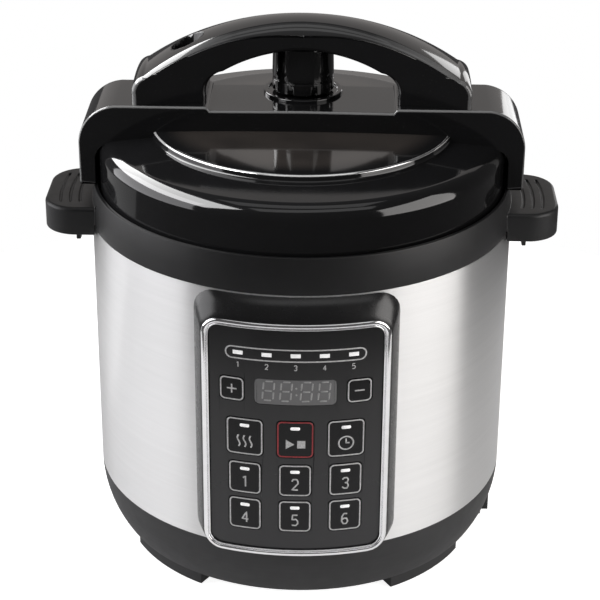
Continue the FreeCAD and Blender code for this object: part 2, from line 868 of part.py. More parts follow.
def window_bar(gap):
    return front_prism(f"window_width / 2 + {gap}", f"time_key_level - window_height / 2 - {gap}",
                       f"time_key_level + window_height / 2 + {gap}", f"key_corner + {gap}")


def panel_fascia():
    """Curved front plate with openings for the keys, the window and the lights, and posts behind."""
    plate = common(wall_ring(FASCIA_RADIUS, FASCIA_BACK),
                   front_prism(FASCIA_HALF_WIDTH, "panel_low + trim_width", "panel_high - trim_width",
                               "panel_corner - trim_width"))
    openings = [key_bar(*row[1:], "key_gap") for row in key_table()]
    openings += [light_bar(across, "rest_gap") for across in light_places()]
    openings.append(window_bar("rest_gap"))
    posts = []
    holes = []
    for across, level in board_post_places():
        post = rod_along_y("post_radius", f"0 - {FASCIA_RADIUS}", f"0 - {BOARD_FRONT}", across, level)
        inside = cylinder(f"{FASCIA_BACK} + fascia_thickness / 2", "base_bottom", "collar_top")
        posts.append(common(post, inside))
        holes.append(rod_along_y("screw_radius + fit_gap", f"0 - {BOARD_FRONT} - board_thickness * 2",
                                 "0", across, level))
    return pierce(fuse(pierce(plate, openings), *posts), holes)


def display_window():
    return common(wall_ring(FASCIA_RADIUS, f"{FASCIA_RADIUS} - window_thickness"), window_bar("0"))


def display_module():
    return box("0 - window_width / 2 + fit_gap", "window_width / 2 - fit_gap",
               f"0 - {BOARD_FRONT} - module_depth", f"0 - {BOARD_FRONT}",
               "time_key_level - window_height / 2", "time_key_level + window_height / 2")


def indicator_lights():
    tube = wall_ring(f"{FASCIA_RADIUS} + rest_gap", f"{FASCIA_RADIUS} - light_length")
    return group([common(tube, light_bar(across, "0")) for across in light_places()])


def control_board():
    board = box("0 - board_half_width", "board_half_width", f"0 - {BOARD_FRONT}", f"0 - ({BOARD_BACK})",
                BOARD_LOW, BOARD_HIGH)
    holes = [rod_along_y("screw_radius + fit_gap", f"0 - {FAR}", "0", across, level)
             for across, level in board_post_places()]
    return pierce(board, holes)


def key_switches():
    switches = []
    for _, across, level, _, _ in key_table():
        switches.append(box(f"{across} - switch_side / 2", f"{across} + switch_side / 2",
                            f"0 - {BOARD_FRONT} - switch_height", f"0 - {BOARD_FRONT}",
                            f"{level} - switch_side / 2", f"{level} + switch_side / 2"))
    return group(switches)


def panel_screws():
    """Screws that hold the control board on the fascia's posts."""
    screws = []
    for across, level in board_post_places():
        head = rod_along_y("screw_head_radius", f"0 - ({BOARD_BACK})", f"0 - ({BOARD_BACK}) + screw_head",
                           across, level)
        shank = rod_along_y("screw_radius", f"0 - {BOARD_FRONT} - board_thickness", f"0 - ({BOARD_BACK})",
                            across, level)
        screws.append(fuse(head, shank))
    return screws


def outer_pot():
    """Fixed steel pot that hangs in the collar's gutter and holds the heater."""
    pot = turned([
        ("chamber_hole", "chamber_floor"),
        ("chamber_radius", "chamber_floor"),
        ("chamber_radius", GUTTER_TOP),
        ("hanger_radius", GUTTER_TOP),
        ("hanger_radius", f"{GUTTER_TOP} + chamber_wall"),
        ("chamber_radius", f"{GUTTER_TOP} + chamber_wall"),
        ("chamber_radius", FLANGE_BOTTOM),
        (CHAMBER_INNER, FLANGE_BOTTOM),
        (CHAMBER_INNER, "chamber_floor + chamber_wall"),
        ("chamber_hole", "chamber_floor + chamber_wall"),
    ])
    holes = [cylinder("screw_radius + fit_gap", "sleeve_top", f"{GUTTER_TOP} + chamber_wall + through_cut",
                      x, y) for x, y in hanger_screw_places()]
    return pierce(pot, holes)


def lug(outer, inner, low, high, index, shift):
    """One bayonet lug; the shift is in lug pitches."""
    turn = f"({index} + {shift}) * 360 / lug_count - lug_sweep / 2"
    return ring(outer, inner, low, high, "lug_sweep", turn)


def lock_flange():
    """Ring on the outer pot with lugs outwards, under which the lid's lugs turn."""
    rim = ring("flange_radius", CHAMBER_INNER, FLANGE_BOTTOM, "flange_top")
    lugs = [lug("lug_radius", "flange_radius - lug_gap", FLANGE_BOTTOM, "flange_top", index, 0)
            for index in range(int(value("lug_count")))]
    return fuse(rim, *lugs)


def element_ring(section, sweep):
    item = doc.addObject("Part::Torus", "element")
    bind(item, Radius1="element_radius", Radius2=section, Angle3=sweep)
    return place(item, z=PLATE_BOTTOM, turn="(360 - element_sweep) / 2 - 90")


def terminal_places():
    half_gap = "(360 - element_sweep) / 2"
    return [polar("element_radius", f"{side} * {half_gap} - 90") for side in (-1, 1)]


def heating_plate():
    """Aluminium plate with a hole for the sensor and a groove for the element."""
    disc = ring("plate_radius", "plate_hole", PLATE_BOTTOM, "plate_top")
    return cut(disc, element_ring("element_section + fit_gap", "360"))


def heater_element():
    legs = [cylinder("terminal_radius", f"{PLATE_BOTTOM} - terminal_length", PLATE_BOTTOM, x, y)
            for x, y in terminal_places()]
    return fuse(element_ring("element_section", "element_sweep"), *legs)


def plate_standoffs():
    posts = []
    for index in range(int(value("standoff_count"))):
        x, y = polar("standoff_circle", f"{index} * 360 / standoff_count + 90")
        posts.append(cylinder("standoff_radius", "chamber_floor + chamber_wall", PLATE_BOTTOM, x, y))
    return group(posts)


def sensor_cup():
    """Cap of the temperature sensor, which bears on the pot's bottom."""
    high = "plate_top - rest_gap"
    low = f"{high} - sensor_height"
    cap = cylinder("sensor_radius", low, high)
    hollow = cylinder("sensor_radius - chamber_wall", f"{low} - through_cut", f"{high} - chamber_wall")
    return cut(cap, hollow)


def sensor_sleeve():
    """Sleeve that guides the sensor's cap above the pressure switch."""
    return ring("sensor_sleeve_radius", "sensor_sleeve_radius - sensor_sleeve_wall", "chamber_floor",
                "plate_top - rest_gap - chamber_wall")


def pressure_switch():
    """Can under the outer pot's floor that carries the sensor and feels the pot press down."""
    return cylinder("switch_can_radius", "chamber_floor - switch_can_height", "chamber_floor")


def thermal_fuse():
    """Fuse that lies against the outer pot's floor."""
    return rod_along_y("fuse_radius", "0 - fuse_length / 2", "fuse_length / 2",
                       "standoff_circle + chamber_hole", "chamber_floor - fuse_radius")


def power_board():
    level = "power_board_level"
    return box("0 - power_board_half_x", "power_board_half_x", "0 - power_board_half_y", "power_board_half_y",
               level, f"{level} + board_thickness")


def board_parts():
    """Transformer, relay and capacitors on the power board."""
    low = "power_board_level + board_thickness"
    edge = "power_board_half_x - post_radius"
    transformer = box(f"0 - ({edge})", f"part_side - ({edge})", "0 - part_side / 2", "part_side / 2",
                      low, f"{low} + part_height")
    relay = box(f"{edge} - part_side", edge, "0 - part_side / 2", "part_side / 2",
                low, f"{low} + part_height")
    cans = [cylinder("capacitor_radius", low, f"{low} + part_height", f"{side} * part_side",
                     "power_board_half_y - 2 * capacitor_radius") for side in (-1, 1)]
    return group([transformer, relay, *cans])


def drip_cup_holder():
    """Curved plate behind the sleeve with a ledge that carries the cup."""
    half = "(cup_half_width + holder_margin)"
    top = "cup_low - rest_gap"
    low = f"{top} - holder_thickness"
    plate = common(wall_ring(f"{HOUSING_SEAT} + holder_thickness", HOUSING_SEAT),
                   box(f"0 - {half}", half, "0", FAR, low, "cup_low + cup_height"))
    ledge = common(wall_ring(f"{CUP_REACH} - holder_margin", f"{HOUSING_SEAT} + rest_gap"),
                   box(f"0 - {half}", half, "0", FAR, low, top))
    return fuse(plate, ledge)


def drip_cup():
    """Open cup that catches the gutter's water behind the sleeve."""
    back = f"{HOUSING_SEAT} + holder_thickness + run_gap"
    outside = common(wall_ring(CUP_REACH, back),
                     box("0 - cup_half_width", "cup_half_width", "0", FAR, "cup_low", "cup_low + cup_height"))
    inside = common(wall_ring(f"{CUP_REACH} - cup_wall", f"{back} + cup_wall"),
                    box("0 - cup_half_width + cup_wall", "cup_half_width - cup_wall", "0", FAR,
                        "cup_low + cup_wall", "cup_low + cup_height + through_cut"))
    return cut(outside, inside)


def inner_pot():
    """Lift-out cooking pot with a flat rim that rests on the lock flange."""
    rise = f"{CORNER_RISE} * pot_corner"
    inner_corner = "(pot_corner - pot_wall)"
    inner_rise = f"{CORNER_RISE} * {inner_corner}"
    return turned([
        ("0", POT_BOTTOM),
        ("pot_radius - pot_corner", POT_BOTTOM),
        ("pot_radius", f"{POT_BOTTOM} + pot_corner", f"0 - {rise}"),
        ("pot_radius", POT_RIM_BOTTOM),
        ("pot_rim_radius", POT_RIM_BOTTOM),
        ("pot_rim_radius", f"{POT_RIM_BOTTOM} + pot_rim"),
        ("pot_radius - pot_wall", f"{POT_RIM_BOTTOM} + pot_rim"),
        ("pot_radius - pot_wall", f"{POT_BOTTOM} + pot_corner"),
        ("pot_radius - pot_corner", f"{POT_BOTTOM} + pot_wall", inner_rise),
        ("0", f"{POT_BOTTOM} + pot_wall"),
    ])


def inner_lid():
    """Plate that covers the inner pot, with a nub below to hold it by."""
    plate = cylinder("liner_radius", "liner_level", "liner_level + liner_thickness")
    nub = cylinder("knob_nub_radius", "liner_level - knob_nub_height", "liner_level + liner_thickness / 2")
    return fuse(plate, nub)


def seal_ring():
    """Silicone ring under the inner lid, with a lip against the pot's wall."""
    outer = "(pot_radius - pot_wall - seal_gap)"
    low = "(liner_level - seal_height)"
    lip = "seal_width / 3"
    return turned([
        (f"{outer} - seal_width", low),
        (f"{outer} - seal_width + {lip}", low),
        (f"{outer} - seal_width + {lip}", f"{low} + seal_height / 2"),
        (f"{outer} - {lip}", f"{low} + seal_height / 4"),
        (outer, f"{low} + seal_height / 4"),
        ("liner_radius", f"{low} + seal_shoulder"),
        ("liner_radius", "liner_level"),
        (f"{outer} - seal_width", "liner_level"),
    ])


def centre_post():
    """Pin of the inner lid on which the lid turns."""
    return cylinder("post_pin_radius", "liner_level + liner_thickness", "post_top")


def lid_profile(gap):
    """Outside of the lid from its crown to the foot of its skirt, grown by a gap."""
    level = f"plateau_level + {gap}"
    shoulder = f"shoulder_level + shoulder_rise + {gap}"
    edge = f"plateau_radius + {gap}"
    return [
        ("0", f"{level} + plateau_crown"),
        ("plateau_flat", f"{level} + plateau_crown"),
        (f"{edge} - plateau_round", level),
        (edge, f"{level} - plateau_round", f"{CORNER_RISE} * plateau_round"),
        (edge, f"{level} - plateau_step"),
        (f"lid_radius + {gap} - shoulder_run", shoulder),
        (f"lid_radius + {gap}", f"shoulder_level + {gap}", f"{CORNER_RISE} * shoulder_run"),
    ]


def lid_cover():
    """Glossy lid: a raised disc, a sloping shoulder, a skirt, and bosses inside for its screws."""
    shell = turned(lid_profile("0") + [
        ("lid_radius", "lid_skirt_bottom"),
        ("lid_radius - lid_wall", "lid_skirt_bottom"),
        ("lid_radius - lid_wall", "shoulder_level"),
        ("lid_radius - shoulder_run", "shoulder_level + shoulder_rise - roof_wall",
         f"0 - {CORNER_RISE} * shoulder_run / 2"),
        ("plateau_radius - roof_wall", "plateau_level - plateau_step - roof_wall"),
        ("0", "plateau_level - roof_wall"),
    ])
    bosses = [cylinder("boss_radius", "shell_top", "plateau_level - roof_wall - plateau_step / 2", x, y)
              for x, y in lid_screw_places()]
    holes = [cylinder("screw_radius", "shell_bottom", "shell_top + lid_screw_length", x, y)
             for x, y in lid_screw_places()]
    passages = [cylinder("stem_radius + run_gap", "shell_bottom", FAR, "0", "valve_offset"),
                cylinder("guide_radius + fit_gap", "shell_bottom", FAR, "0 - float_offset", "0")]
    return pierce(fuse(shell, *bosses), holes + passages)


def lid_screw_places():
    return [polar("lid_screw_circle", angle) for angle in BETWEEN_AXES]


def lid_block(gap):
    """The space that the lid's outside fills, grown by a gap, from the foot of the ears upwards."""
    return turned(lid_profile(gap) + [
        (f"lid_radius + {gap}", "lid_skirt_bottom"),
        ("0", "lid_skirt_bottom"),
    ])


def lid_bridge():
    """Hollow band across the lid with an ear at each end and the tower of the steam valve."""
    reach = "bridge_half_length"
    low = "collar_top + ear_gap"
    inner = "ear_inner"
    points = [
        (f"0 - {reach}", low),
        (reach, low),
        (reach, "ear_top - ear_corner_z"),
        (f"{reach} - ear_corner_x", "ear_top", "0 - ear_round"),
        (inner, "ear_top"),
        (inner, "bridge_top"),
        (f"0 - {inner}", "bridge_top"),
        (f"0 - {inner}", "ear_top"),
        (f"0 - {reach} + ear_corner_x", "ear_top"),
        (f"0 - {reach}", "ear_top - ear_corner_z", "0 - ear_round"),
    ]
    band = prism("XZ_Plane", points, "2 * bridge_half_width", both_ways=True)
    tower = cylinder("tower_radius", low, TOWER_TOP, "0", "valve_offset")
    hollow_points = [
        ("tower_radius + bridge_wall", low),
        (f"{reach} - bridge_wall", low),
        (f"{reach} - bridge_wall", "ear_top - ear_corner_z"),
        (f"{reach} - ear_corner_x", "ear_top - bridge_wall - ear_gap", "0 - ear_round + bridge_wall / 2"),
        (f"{reach} - ear_corner_x - bridge_wall", "bridge_top - bridge_wall"),
        ("tower_radius + bridge_wall", "bridge_top - bridge_wall"),
    ]
    hollow = prism("XZ_Plane", hollow_points, "2 * (bridge_half_width - bridge_wall)", both_ways=True)
    stem_room = cylinder("stem_radius + run_gap", low, FAR, "0", "valve_offset")
    float_room = cylinder("guide_radius + fit_gap", low, FAR, "0 - float_offset", "0")
    return cut(fuse(band, tower), lid_block("rest_gap"), hollow, mirrored(hollow), stem_room, float_room)


def lid_handle():
    """Arched carrying handle, narrow in the middle and flared towards its two legs."""
    half = "arch_half_length"
    foot = "ear_top"
    inner = "ear_inner"
    shoulder_x = f"{half} - arch_shoulder_run"
    inner_x = f"{inner} - arch_inner_corner_x"
    inner_z = f"{foot} + arch_inner_leg + arch_inner_corner_z"
    top_rise = "arch_top - arch_shoulder_level"
    under_rise = f"arch_under - ({inner_z})"
    points = [
        (inner, foot),
        (half, foot),
        (half, "arch_shoulder_level - arch_shoulder_drop"),
        (shoulder_x, "arch_shoulder_level", "0 - arch_shoulder_round"),
        (f"0 - ({shoulder_x})", "arch_shoulder_level", f"0 - ({top_rise})"),
        (f"0 - {half}", "arch_shoulder_level - arch_shoulder_drop", "0 - arch_shoulder_round"),
        (f"0 - {half}", foot),
        (f"0 - {inner}", foot),
        (f"0 - {inner}", f"{foot} + arch_inner_leg"),
        (f"0 - ({inner_x})", inner_z, "arch_inner_round"),
        (inner_x, inner_z, under_rise),
        (inner, f"{foot} + arch_inner_leg", "arch_inner_round"),
    ]
    side = prism("XZ_Plane", points, "2 * (arch_half_depth + arch_flare)", both_ways=True)
    depth = "(arch_half_depth + arch_flare)"
    plan = plan_prism([
        (f"0 - {half}", f"0 - {depth}"),
        (half, f"0 - {depth}", "arch_flare"),
        (half, depth),
        (f"0 - {half}", depth, "arch_flare"),
    ], foot, "arch_top")
    arch = common(side, plan)
    low = value("arch_shoulder_level - arch_shoulder_drop")
    inside = value(inner)

    def outer_edge(edge):
        """Edges of the arch's back, along its front and rear faces."""
        far_out = max(abs(vertex.X) for vertex in edge.Vertexes) > inside
        along = abs(edge.Vertexes[0].Y - edge.Vertexes[-1].Y) < value("arch_half_depth")
        return edge.BoundBox.ZMin > low - EDGE_TOLERANCE and far_out and along
    arch = rounded_edges(arch, "arch_edge", outer_edge)
    well = cylinder("well_radius", "well_floor", "arch_top", "0 - float_offset", "0")
    guide_room = cylinder("guide_radius + fit_gap", foot, "guide_top + run_gap", "0 - float_offset", "0")
    pin_room = cylinder("float_radius + run_gap", foot, "arch_top", "0 - float_offset", "0")
    return cut(arch, well, guide_room, pin_room)


def pressure_lid():
    """Steel lid inside the glossy one, whose skirt carries the bayonet lugs."""
    rise = f"{CORNER_RISE} * shell_corner"
    inner_rise = f"{CORNER_RISE} * (shell_corner - shell_wall)"
    radius = f"({SHELL_RADIUS})"
    shell = turned([
        ("0", "shell_top"),
        (f"{radius} - shell_corner", "shell_top"),
        (radius, "shell_top - shell_corner", rise),
        (radius, "shell_bottom"),
        (f"{radius} - shell_wall", "shell_bottom"),
        (f"{radius} - shell_wall", "shell_top - shell_corner"),
        (f"{radius} - shell_corner", SHELL_UNDER, f"0 - {inner_rise}"),
        ("0", SHELL_UNDER),
    ])
    lugs = [lug(f"{radius} - shell_wall / 2", "flange_radius + lug_gap", "shell_bottom",
                "shell_bottom + lug_height", index, 0.5) for index in range(int(value("lug_count")))]
    low = f"{SHELL_UNDER} - through_cut"
    high = "shell_top + through_cut"
    holes = [cylinder("post_pin_radius + shaft_gap", low, high),
             cylinder("stem_radius + fit_gap", low, high, "0", "valve_offset"),
             cylinder("guide_radius + fit_gap", low, high, "0 - float_offset", "0")]
    holes += [cylinder("screw_radius + fit_gap", low, high, x, y) for x, y in lid_screw_places()]
    return pierce(fuse(shell, *lugs), holes)


def valve_stem():
    """Steam pipe with a collar that sits on the steel lid."""
    low = f"{SHELL_UNDER} - nut_height - shield_wall"
    pipe = cylinder("stem_radius", low, "stem_top", "0", "valve_offset")
    collar = cylinder("nut_radius", "shell_top", "shell_top + nut_height", "0", "valve_offset")
    bore = cylinder("stem_bore", f"{low} - through_cut", "stem_top + through_cut", "0", "valve_offset")
    return cut(fuse(pipe, collar), bore)


def valve_nut():
    """Nut that holds the steam pipe from below."""
    nut = cylinder("nut_radius", f"{SHELL_UNDER} - nut_height", SHELL_UNDER, "0", "valve_offset")
    return cut(nut, cylinder("stem_radius + rest_gap", "shell_bottom", "shell_top", "0", "valve_offset"))


def block_shield():
    """Perforated cap over the lower end of the steam pipe."""
    top = f"{SHELL_UNDER} - nut_height"
    cap = cylinder("shield_radius", f"{top} - shield_height", top, "0", "valve_offset")
    hollow = cylinder("shield_radius - shield_wall", f"{top} - shield_height + shield_wall",
                      f"{top} - shield_wall", "0", "valve_offset")
    bore = cylinder("stem_radius + rest_gap", f"{top} - shield_height / 2", f"{top} + through_cut",
                    "0", "valve_offset")
    slot_low = f"{top} - shield_height + slot_rise"
    slots = []
    for side in (-1, 0, 1):
        middle = f"valve_offset + {side} * shield_wall * 2"
        slots.append(box("0 - shield_radius * 2", "shield_radius * 2", f"{middle} - shield_wall / 2",
                         f"{middle} + shield_wall / 2", slot_low, f"{slot_low} + slot_height"))
    return pierce(cut(cap, hollow, bore), slots)


def float_guide():
    """Tube that carries the float pin up through the lid to the well in the handle."""
    tube = cylinder("guide_radius", SHELL_UNDER, "guide_top", "0 - float_offset", "0")
    bore = cylinder("float_radius + shaft_gap", "shell_bottom", FAR, "0 - float_offset", "0")
    return cut(tube, bore)


def lid_screws():
    return group([screw(x, y, SHELL_UNDER, "lid_screw_length") for x, y in lid_screw_places()])


def valve_knob():
    """Knob of the steam valve, with a line round it and notches in its lower edge."""
    low = f"{TOWER_TOP} + run_gap"
    body = cylinder("knob_radius", low, "knob_top", "0", "valve_offset")
    groove_low = f"{low} + knob_groove_rise"
    groove = cut(cylinder("knob_radius + through_cut", groove_low, f"{groove_low} + knob_groove",
                          "0", "valve_offset"),
                 cylinder("knob_radius - knob_groove", f"{groove_low} - through_cut",
                          f"{groove_low} + through_cut", "0", "valve_offset"))
    bore = cylinder("stem_radius + shaft_gap", f"{low} - through_cut", "stem_top + rest_gap",
                    "0", "valve_offset")
    seat = cylinder("weight_radius", "stem_top + rest_gap", "stem_top + rest_gap + weight_height",
                    "0", "valve_offset")
    notches = []
    for index in range(int(value("knob_notches"))):
        blank = box("knob_radius - knob_notch_width", "knob_radius + through_cut", "0 - knob_notch_width / 2",
                    "knob_notch_width / 2", f"{low} - through_cut", f"{low} + knob_notch_height")
        notch = turn_copy(blank, f"({index} + 0.5) * 360 / knob_notches")
        notch.setExpression("Placement.Base.y", bound("valve_offset"))
        notches.append(notch)
    return pierce(cut(body, groove, bore, seat), notches)


def valve_weight():
    """Steel weight inside the knob that closes the steam pipe."""
    low = "stem_top + rest_gap"
    return cylinder("weight_radius - fit_gap", f"{low} + rest_gap", f"{low} + weight_height",
                    "0", "valve_offset")


def float_pin():
    """Pin with a head in the handle's well and a foot under the lid."""
    head_low = "well_floor + rest_gap"
    rod = cylinder("float_radius", f"{GASKET_LOW} - float_foot / 2", f"{head_low} + float_head / 2",
                   "0 - float_offset", "0")
    head = cylinder("float_head_radius", head_low, f"{head_low} + float_head", "0 - float_offset", "0")
    foot = cylinder("float_foot_radius", f"{GASKET_LOW} - float_foot", GASKET_LOW, "0 - float_offset", "0")
    return fuse(rod, head, foot)


def float_gasket():
    disc = cylinder("float_foot_radius", GASKET_LOW, f"{GASKET_LOW} + float_seal", "0 - float_offset", "0")
    bore = cylinder("float_radius + rest_gap", "shell_bottom", "shell_top", "0 - float_offset", "0")
    return cut(disc, bore)


def build():
    """Makes every piece, outside first, then what is inside, then what lifts off."""
    node("base_shell", base_shell())
    node("foot_pads", group([foot_pad(turn, "pad_inset", "0") for turn in foot_turns()]))
    node("bottom_cover", bottom_cover())
    node("case_screws", group(cover_screws() + panel_screws() + hanger_screws()))
    node("steel_sleeve", steel_sleeve())
    node("upper_collar", upper_collar())
    right_cover = node("handle_cover_right", handle_cover())
    node("handle_cover_left", mirrored(right_cover))
    node("panel_housing", panel_housing())
    node("chrome_trim", chrome_trim())
    node("panel_fascia", panel_fascia())
    node("display_window", display_window())
    node("display_module", display_module())
    node("indicator_lights", indicator_lights())
    node("control_board", control_board())
    node("key_switches", key_switches())
    for name, across, level, width, height in key_table():
        node(name, key(across, level, width, height))
    node("outer_pot", outer_pot())
    node("lock_flange", lock_flange())
    node("heating_plate", heating_plate())
    node("heater_element", heater_element())
    node("plate_standoffs", plate_standoffs())
    node("sensor_cup", sensor_cup())
    node("sensor_sleeve", sensor_sleeve())
    node("pressure_switch", pressure_switch())
    node("thermal_fuse", thermal_fuse())
    node("power_board", power_board())
    node("board_parts", board_parts())
    node("power_inlet", power_inlet())
    node("inlet_pins", group([inlet_pin(across, rise, "0") for across, rise in pin_places()]))
    node("drip_cup_holder", drip_cup_holder())
    node("drip_cup", drip_cup())
    node("inner_pot", inner_pot())
    node("inner_lid", inner_lid())
    node("seal_ring", seal_ring())
    node("centre_post", centre_post())
    node("lid_cover", lid_cover())
    node("lid_bridge", lid_bridge())
    node("lid_handle", lid_handle())
    node("pressure_lid", pressure_lid())
    node("valve_stem", valve_stem())
    node("valve_nut", valve_nut())
    node("block_shield", block_shield())
    node("float_guide", float_guide())
    node("lid_screws", lid_screws())
    node("valve_knob", valve_knob())
    node("valve_weight", valve_weight())
    node("float_pin", float_pin())
    node("float_gasket", float_gasket())


def check_and_write():
    """Stops on any failed object, then writes each piece."""
    doc.recompute()
    failed = [item.Label for item in doc.Objects if "Invalid" in item.State or "Error" in item.State]
    if failed:
        raise RuntimeError("failed objects: " + ", ".join(failed))
    bad = [label for label, item in nodes.items()
           if item.Shape.isNull() or not item.Shape.isValid() or not item.Shape.Solids]
    if bad:
        raise RuntimeError("bad shapes: " + ", ".join(bad))
    os.makedirs("parts", exist_ok=True)
    for label, item in nodes.items():
        item.Shape.exportStep(os.path.join("parts", label + ".step"))


build()
check_and_write()
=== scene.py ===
import bmesh
import bpy
import json
import numpy as np
from mathutils import Matrix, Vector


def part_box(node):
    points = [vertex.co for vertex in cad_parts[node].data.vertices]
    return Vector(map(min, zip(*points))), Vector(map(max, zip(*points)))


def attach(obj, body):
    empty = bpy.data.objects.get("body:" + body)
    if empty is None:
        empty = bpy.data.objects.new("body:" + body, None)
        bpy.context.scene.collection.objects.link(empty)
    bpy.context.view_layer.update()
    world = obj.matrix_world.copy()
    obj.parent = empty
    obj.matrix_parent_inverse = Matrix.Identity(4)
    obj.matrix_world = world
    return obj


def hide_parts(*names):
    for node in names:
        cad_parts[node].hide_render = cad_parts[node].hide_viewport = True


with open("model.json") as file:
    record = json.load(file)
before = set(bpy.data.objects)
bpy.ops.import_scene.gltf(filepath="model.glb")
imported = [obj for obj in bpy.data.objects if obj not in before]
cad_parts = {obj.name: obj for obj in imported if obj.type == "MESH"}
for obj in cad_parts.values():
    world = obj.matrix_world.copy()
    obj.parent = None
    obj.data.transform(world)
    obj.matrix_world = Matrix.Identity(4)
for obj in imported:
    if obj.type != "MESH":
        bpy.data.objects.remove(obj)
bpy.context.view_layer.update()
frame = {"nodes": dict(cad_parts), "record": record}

# Millimetres to the frame's metres
MM = 0.001

# Levels and radii of the cooker in millimetres, as the solids have them, but for a lid that is 2.4 mm wider
LID_RADIUS = 105.4
LID_WALL = 1.6
SKIRT_BOTTOM = 192.0
SHOULDER_LEVEL = 222.0
SHOULDER_ROUND = 8.0
PLATEAU_RADIUS = 78.0
PLATEAU_LEVEL = 232.5
PLATEAU_CROWN = 1.2
EAR_TOP = 246.0
EAR_FOOT = 203.4
EAR_REACH = 114.0
EAR_INNER = 48.5
BRIDGE_TOP = 244.0
BRIDGE_HALF_DEPTH = 21.0
ARCH_TOP = 288.0
ARCH_UNDER = 273.4
ARCH_REACH = 86.0
ARCH_HALF_DEPTH = 13.3
ARCH_FLARE = 6.7
ARCH_CROWN = 1.8
ARCH_FOOT = EAR_TOP - 1.5
ARCH_SHOULDER = 262.0
ARCH_SHOULDER_FOOT = 253.0
ARCH_SHOULDER_INSET = 6.0
GRIP_SHOULDER = 263.0
GRIP_SHOULDER_FOOT = 250.0
GRIP_SHOULDER_INSET = 9.0
WELL_X = -59.0
WELL_RADIUS = 7.5
WELL_FLOOR = 260.0
VALVE_Y = 11.5
KNOB_RADIUS = 16.0
KNOB_LOW = 246.5
KNOB_TOP = 271.5
KNOB_NOTCHES = 8
NOTCH_HEIGHT = 2.8
NOTCH_SHARE = 0.11
TOWER_RADIUS = 20.5
FASCIA_RADIUS = 116.8
KEY_FACE = 117.0
PRINT_PROUD = 0.06
PRINT_SUNK = 0.3
PEN_WIDTH = 0.75
SIGN_DROP = 2.6
LIGHT_PITCH = 14.05
FLOOR_RADIUS = 410.0

# Grid fineness
ROUND_STEPS = 6
FACE_STEPS = 12
FLAT_STEPS = 40
TURN_STEPS = 192
SIDE_STEPS = 24


# Shader maths


class Field:
    """A number that varies over a surface, with the arithmetic written as plain expressions."""

    def __init__(self, look, socket):
        self.look = look
        self.socket = socket

    def combine(self, operation, first, second):
        return self.look.node("ShaderNodeMath", {"operation": operation}, {0: first, 1: second})

    def __add__(self, other):
        return self.combine("ADD", self, other)

    __radd__ = __add__

    def __sub__(self, other):
        return self.combine("SUBTRACT", self, other)

    def __rsub__(self, other):
        return self.combine("SUBTRACT", other, self)

    def __mul__(self, other):
        return self.combine("MULTIPLY", self, other)

    __rmul__ = __mul__

    def __truediv__(self, other):
        return self.combine("DIVIDE", self, other)

    def __rtruediv__(self, other):
        return self.combine("DIVIDE", other, self)

    def step(self, low, high):
        """Smooth step from 0 at low to 1 at high."""
        return self.look.node("ShaderNodeMapRange", {"interpolation_type": "SMOOTHSTEP"},
                              {"Value": self, "From Min": low, "From Max": high})


class Look:
    """A finish: one principled shader with its constants, and the fields that feed it."""

    def __init__(self, name, **constants):
        self.material = bpy.data.materials.new(name)
        self.material.use_nodes = True
        self.tree = self.material.node_tree
        self.shader = self.tree.nodes["Principled BSDF"]
        for socket, value in constants.items():
            self.shader.inputs[socket.replace("_", " ")].default_value = value

    def node(self, kind, settings=None, inputs=None, output=0):
        """Adds a node: its settings first, then the values or links of its sockets."""
        item = self.tree.nodes.new(kind)
        for name, value in (settings or {}).items():
            setattr(item, name, value)
        for key, value in (inputs or {}).items():
            if isinstance(value, Field):
                self.tree.links.new(value.socket, item.inputs[key])
            else:
                item.inputs[key].default_value = value
        return Field(self, item.outputs[output])

    def place(self):
        return self.node("ShaderNodeTexCoord", output="Object")

    def axis(self, name):
        return self.node("ShaderNodeSeparateXYZ", inputs={0: self.place()}, output=name)

    def noise(self, scale, stretch=(1, 1, 1), detail=2.0, roughness=0.5):
        """Cloudy noise between 0 and 1 in object space, stretched along an axis where its factor is small."""
        spot = self.node("ShaderNodeMapping", inputs={"Vector": self.place(), "Scale": stretch})
        return self.node("ShaderNodeTexNoise", {}, {"Vector": spot, "Scale": scale, "Detail": detail,
                                                    "Roughness": roughness})

    def mix(self, factor, first, second):
        return self.node("ShaderNodeMix", {"data_type": "RGBA"}, {0: factor, 6: first, 7: second}, 2)

    def bump(self, height, strength, distance):
        return self.node("ShaderNodeBump", {}, {"Height": height, "Strength": strength, "Distance": distance})

    def feed(self, **fields):
        for name, field in fields.items():
            self.tree.links.new(field.socket, self.shader.inputs[name.replace("_", " ")])
        return self


def grey(level, tint=0.0):
    """A grey, or with a tint a slightly bluish one."""
    return (level, level, level * (1 + tint), 1.0)


def moulded(name, dark, light, roughness, spread, grain, depth, **constants):
    """Moulded plastic: two close tones in soft clouds, a roughness that varies, and a fine grain. Where the
    mesh carries painted highlight weights on its edges, the colour turns pale and metallic: a painted edge
    highlight."""
    look = Look(name, **constants)
    cloud = look.noise(60.0, detail=4.0)
    speck = look.noise(2600.0).step(0.72, 0.8)
    # Painted highlight: a per-point weight from the mesh makes edges pale and metallic, in place of the
    # lamps' edge highlights
    edge = look.node("ShaderNodeAttribute", {"attribute_name": "painted_highlight"}, output="Fac")
    tone = look.mix(speck * 0.25, look.mix(cloud, dark, light), grey(0.25))
    look.feed(Base_Color=look.mix(edge, tone, grey(0.9)), Metallic=edge)
    look.feed(Roughness=roughness + spread * look.noise(140.0, detail=5.0) + 0.1 * speck)
    look.feed(Normal=look.bump(look.noise(grain, detail=3.0), 0.25, depth))
    return look


def gloss(name):
    """Glossy black plastic of the lid, bridge, handle and knob."""
    return moulded(name, grey(0.003), grey(0.0045, 0.1), 0.05, 0.05, 90.0, 0.00001, IOR=1.5)


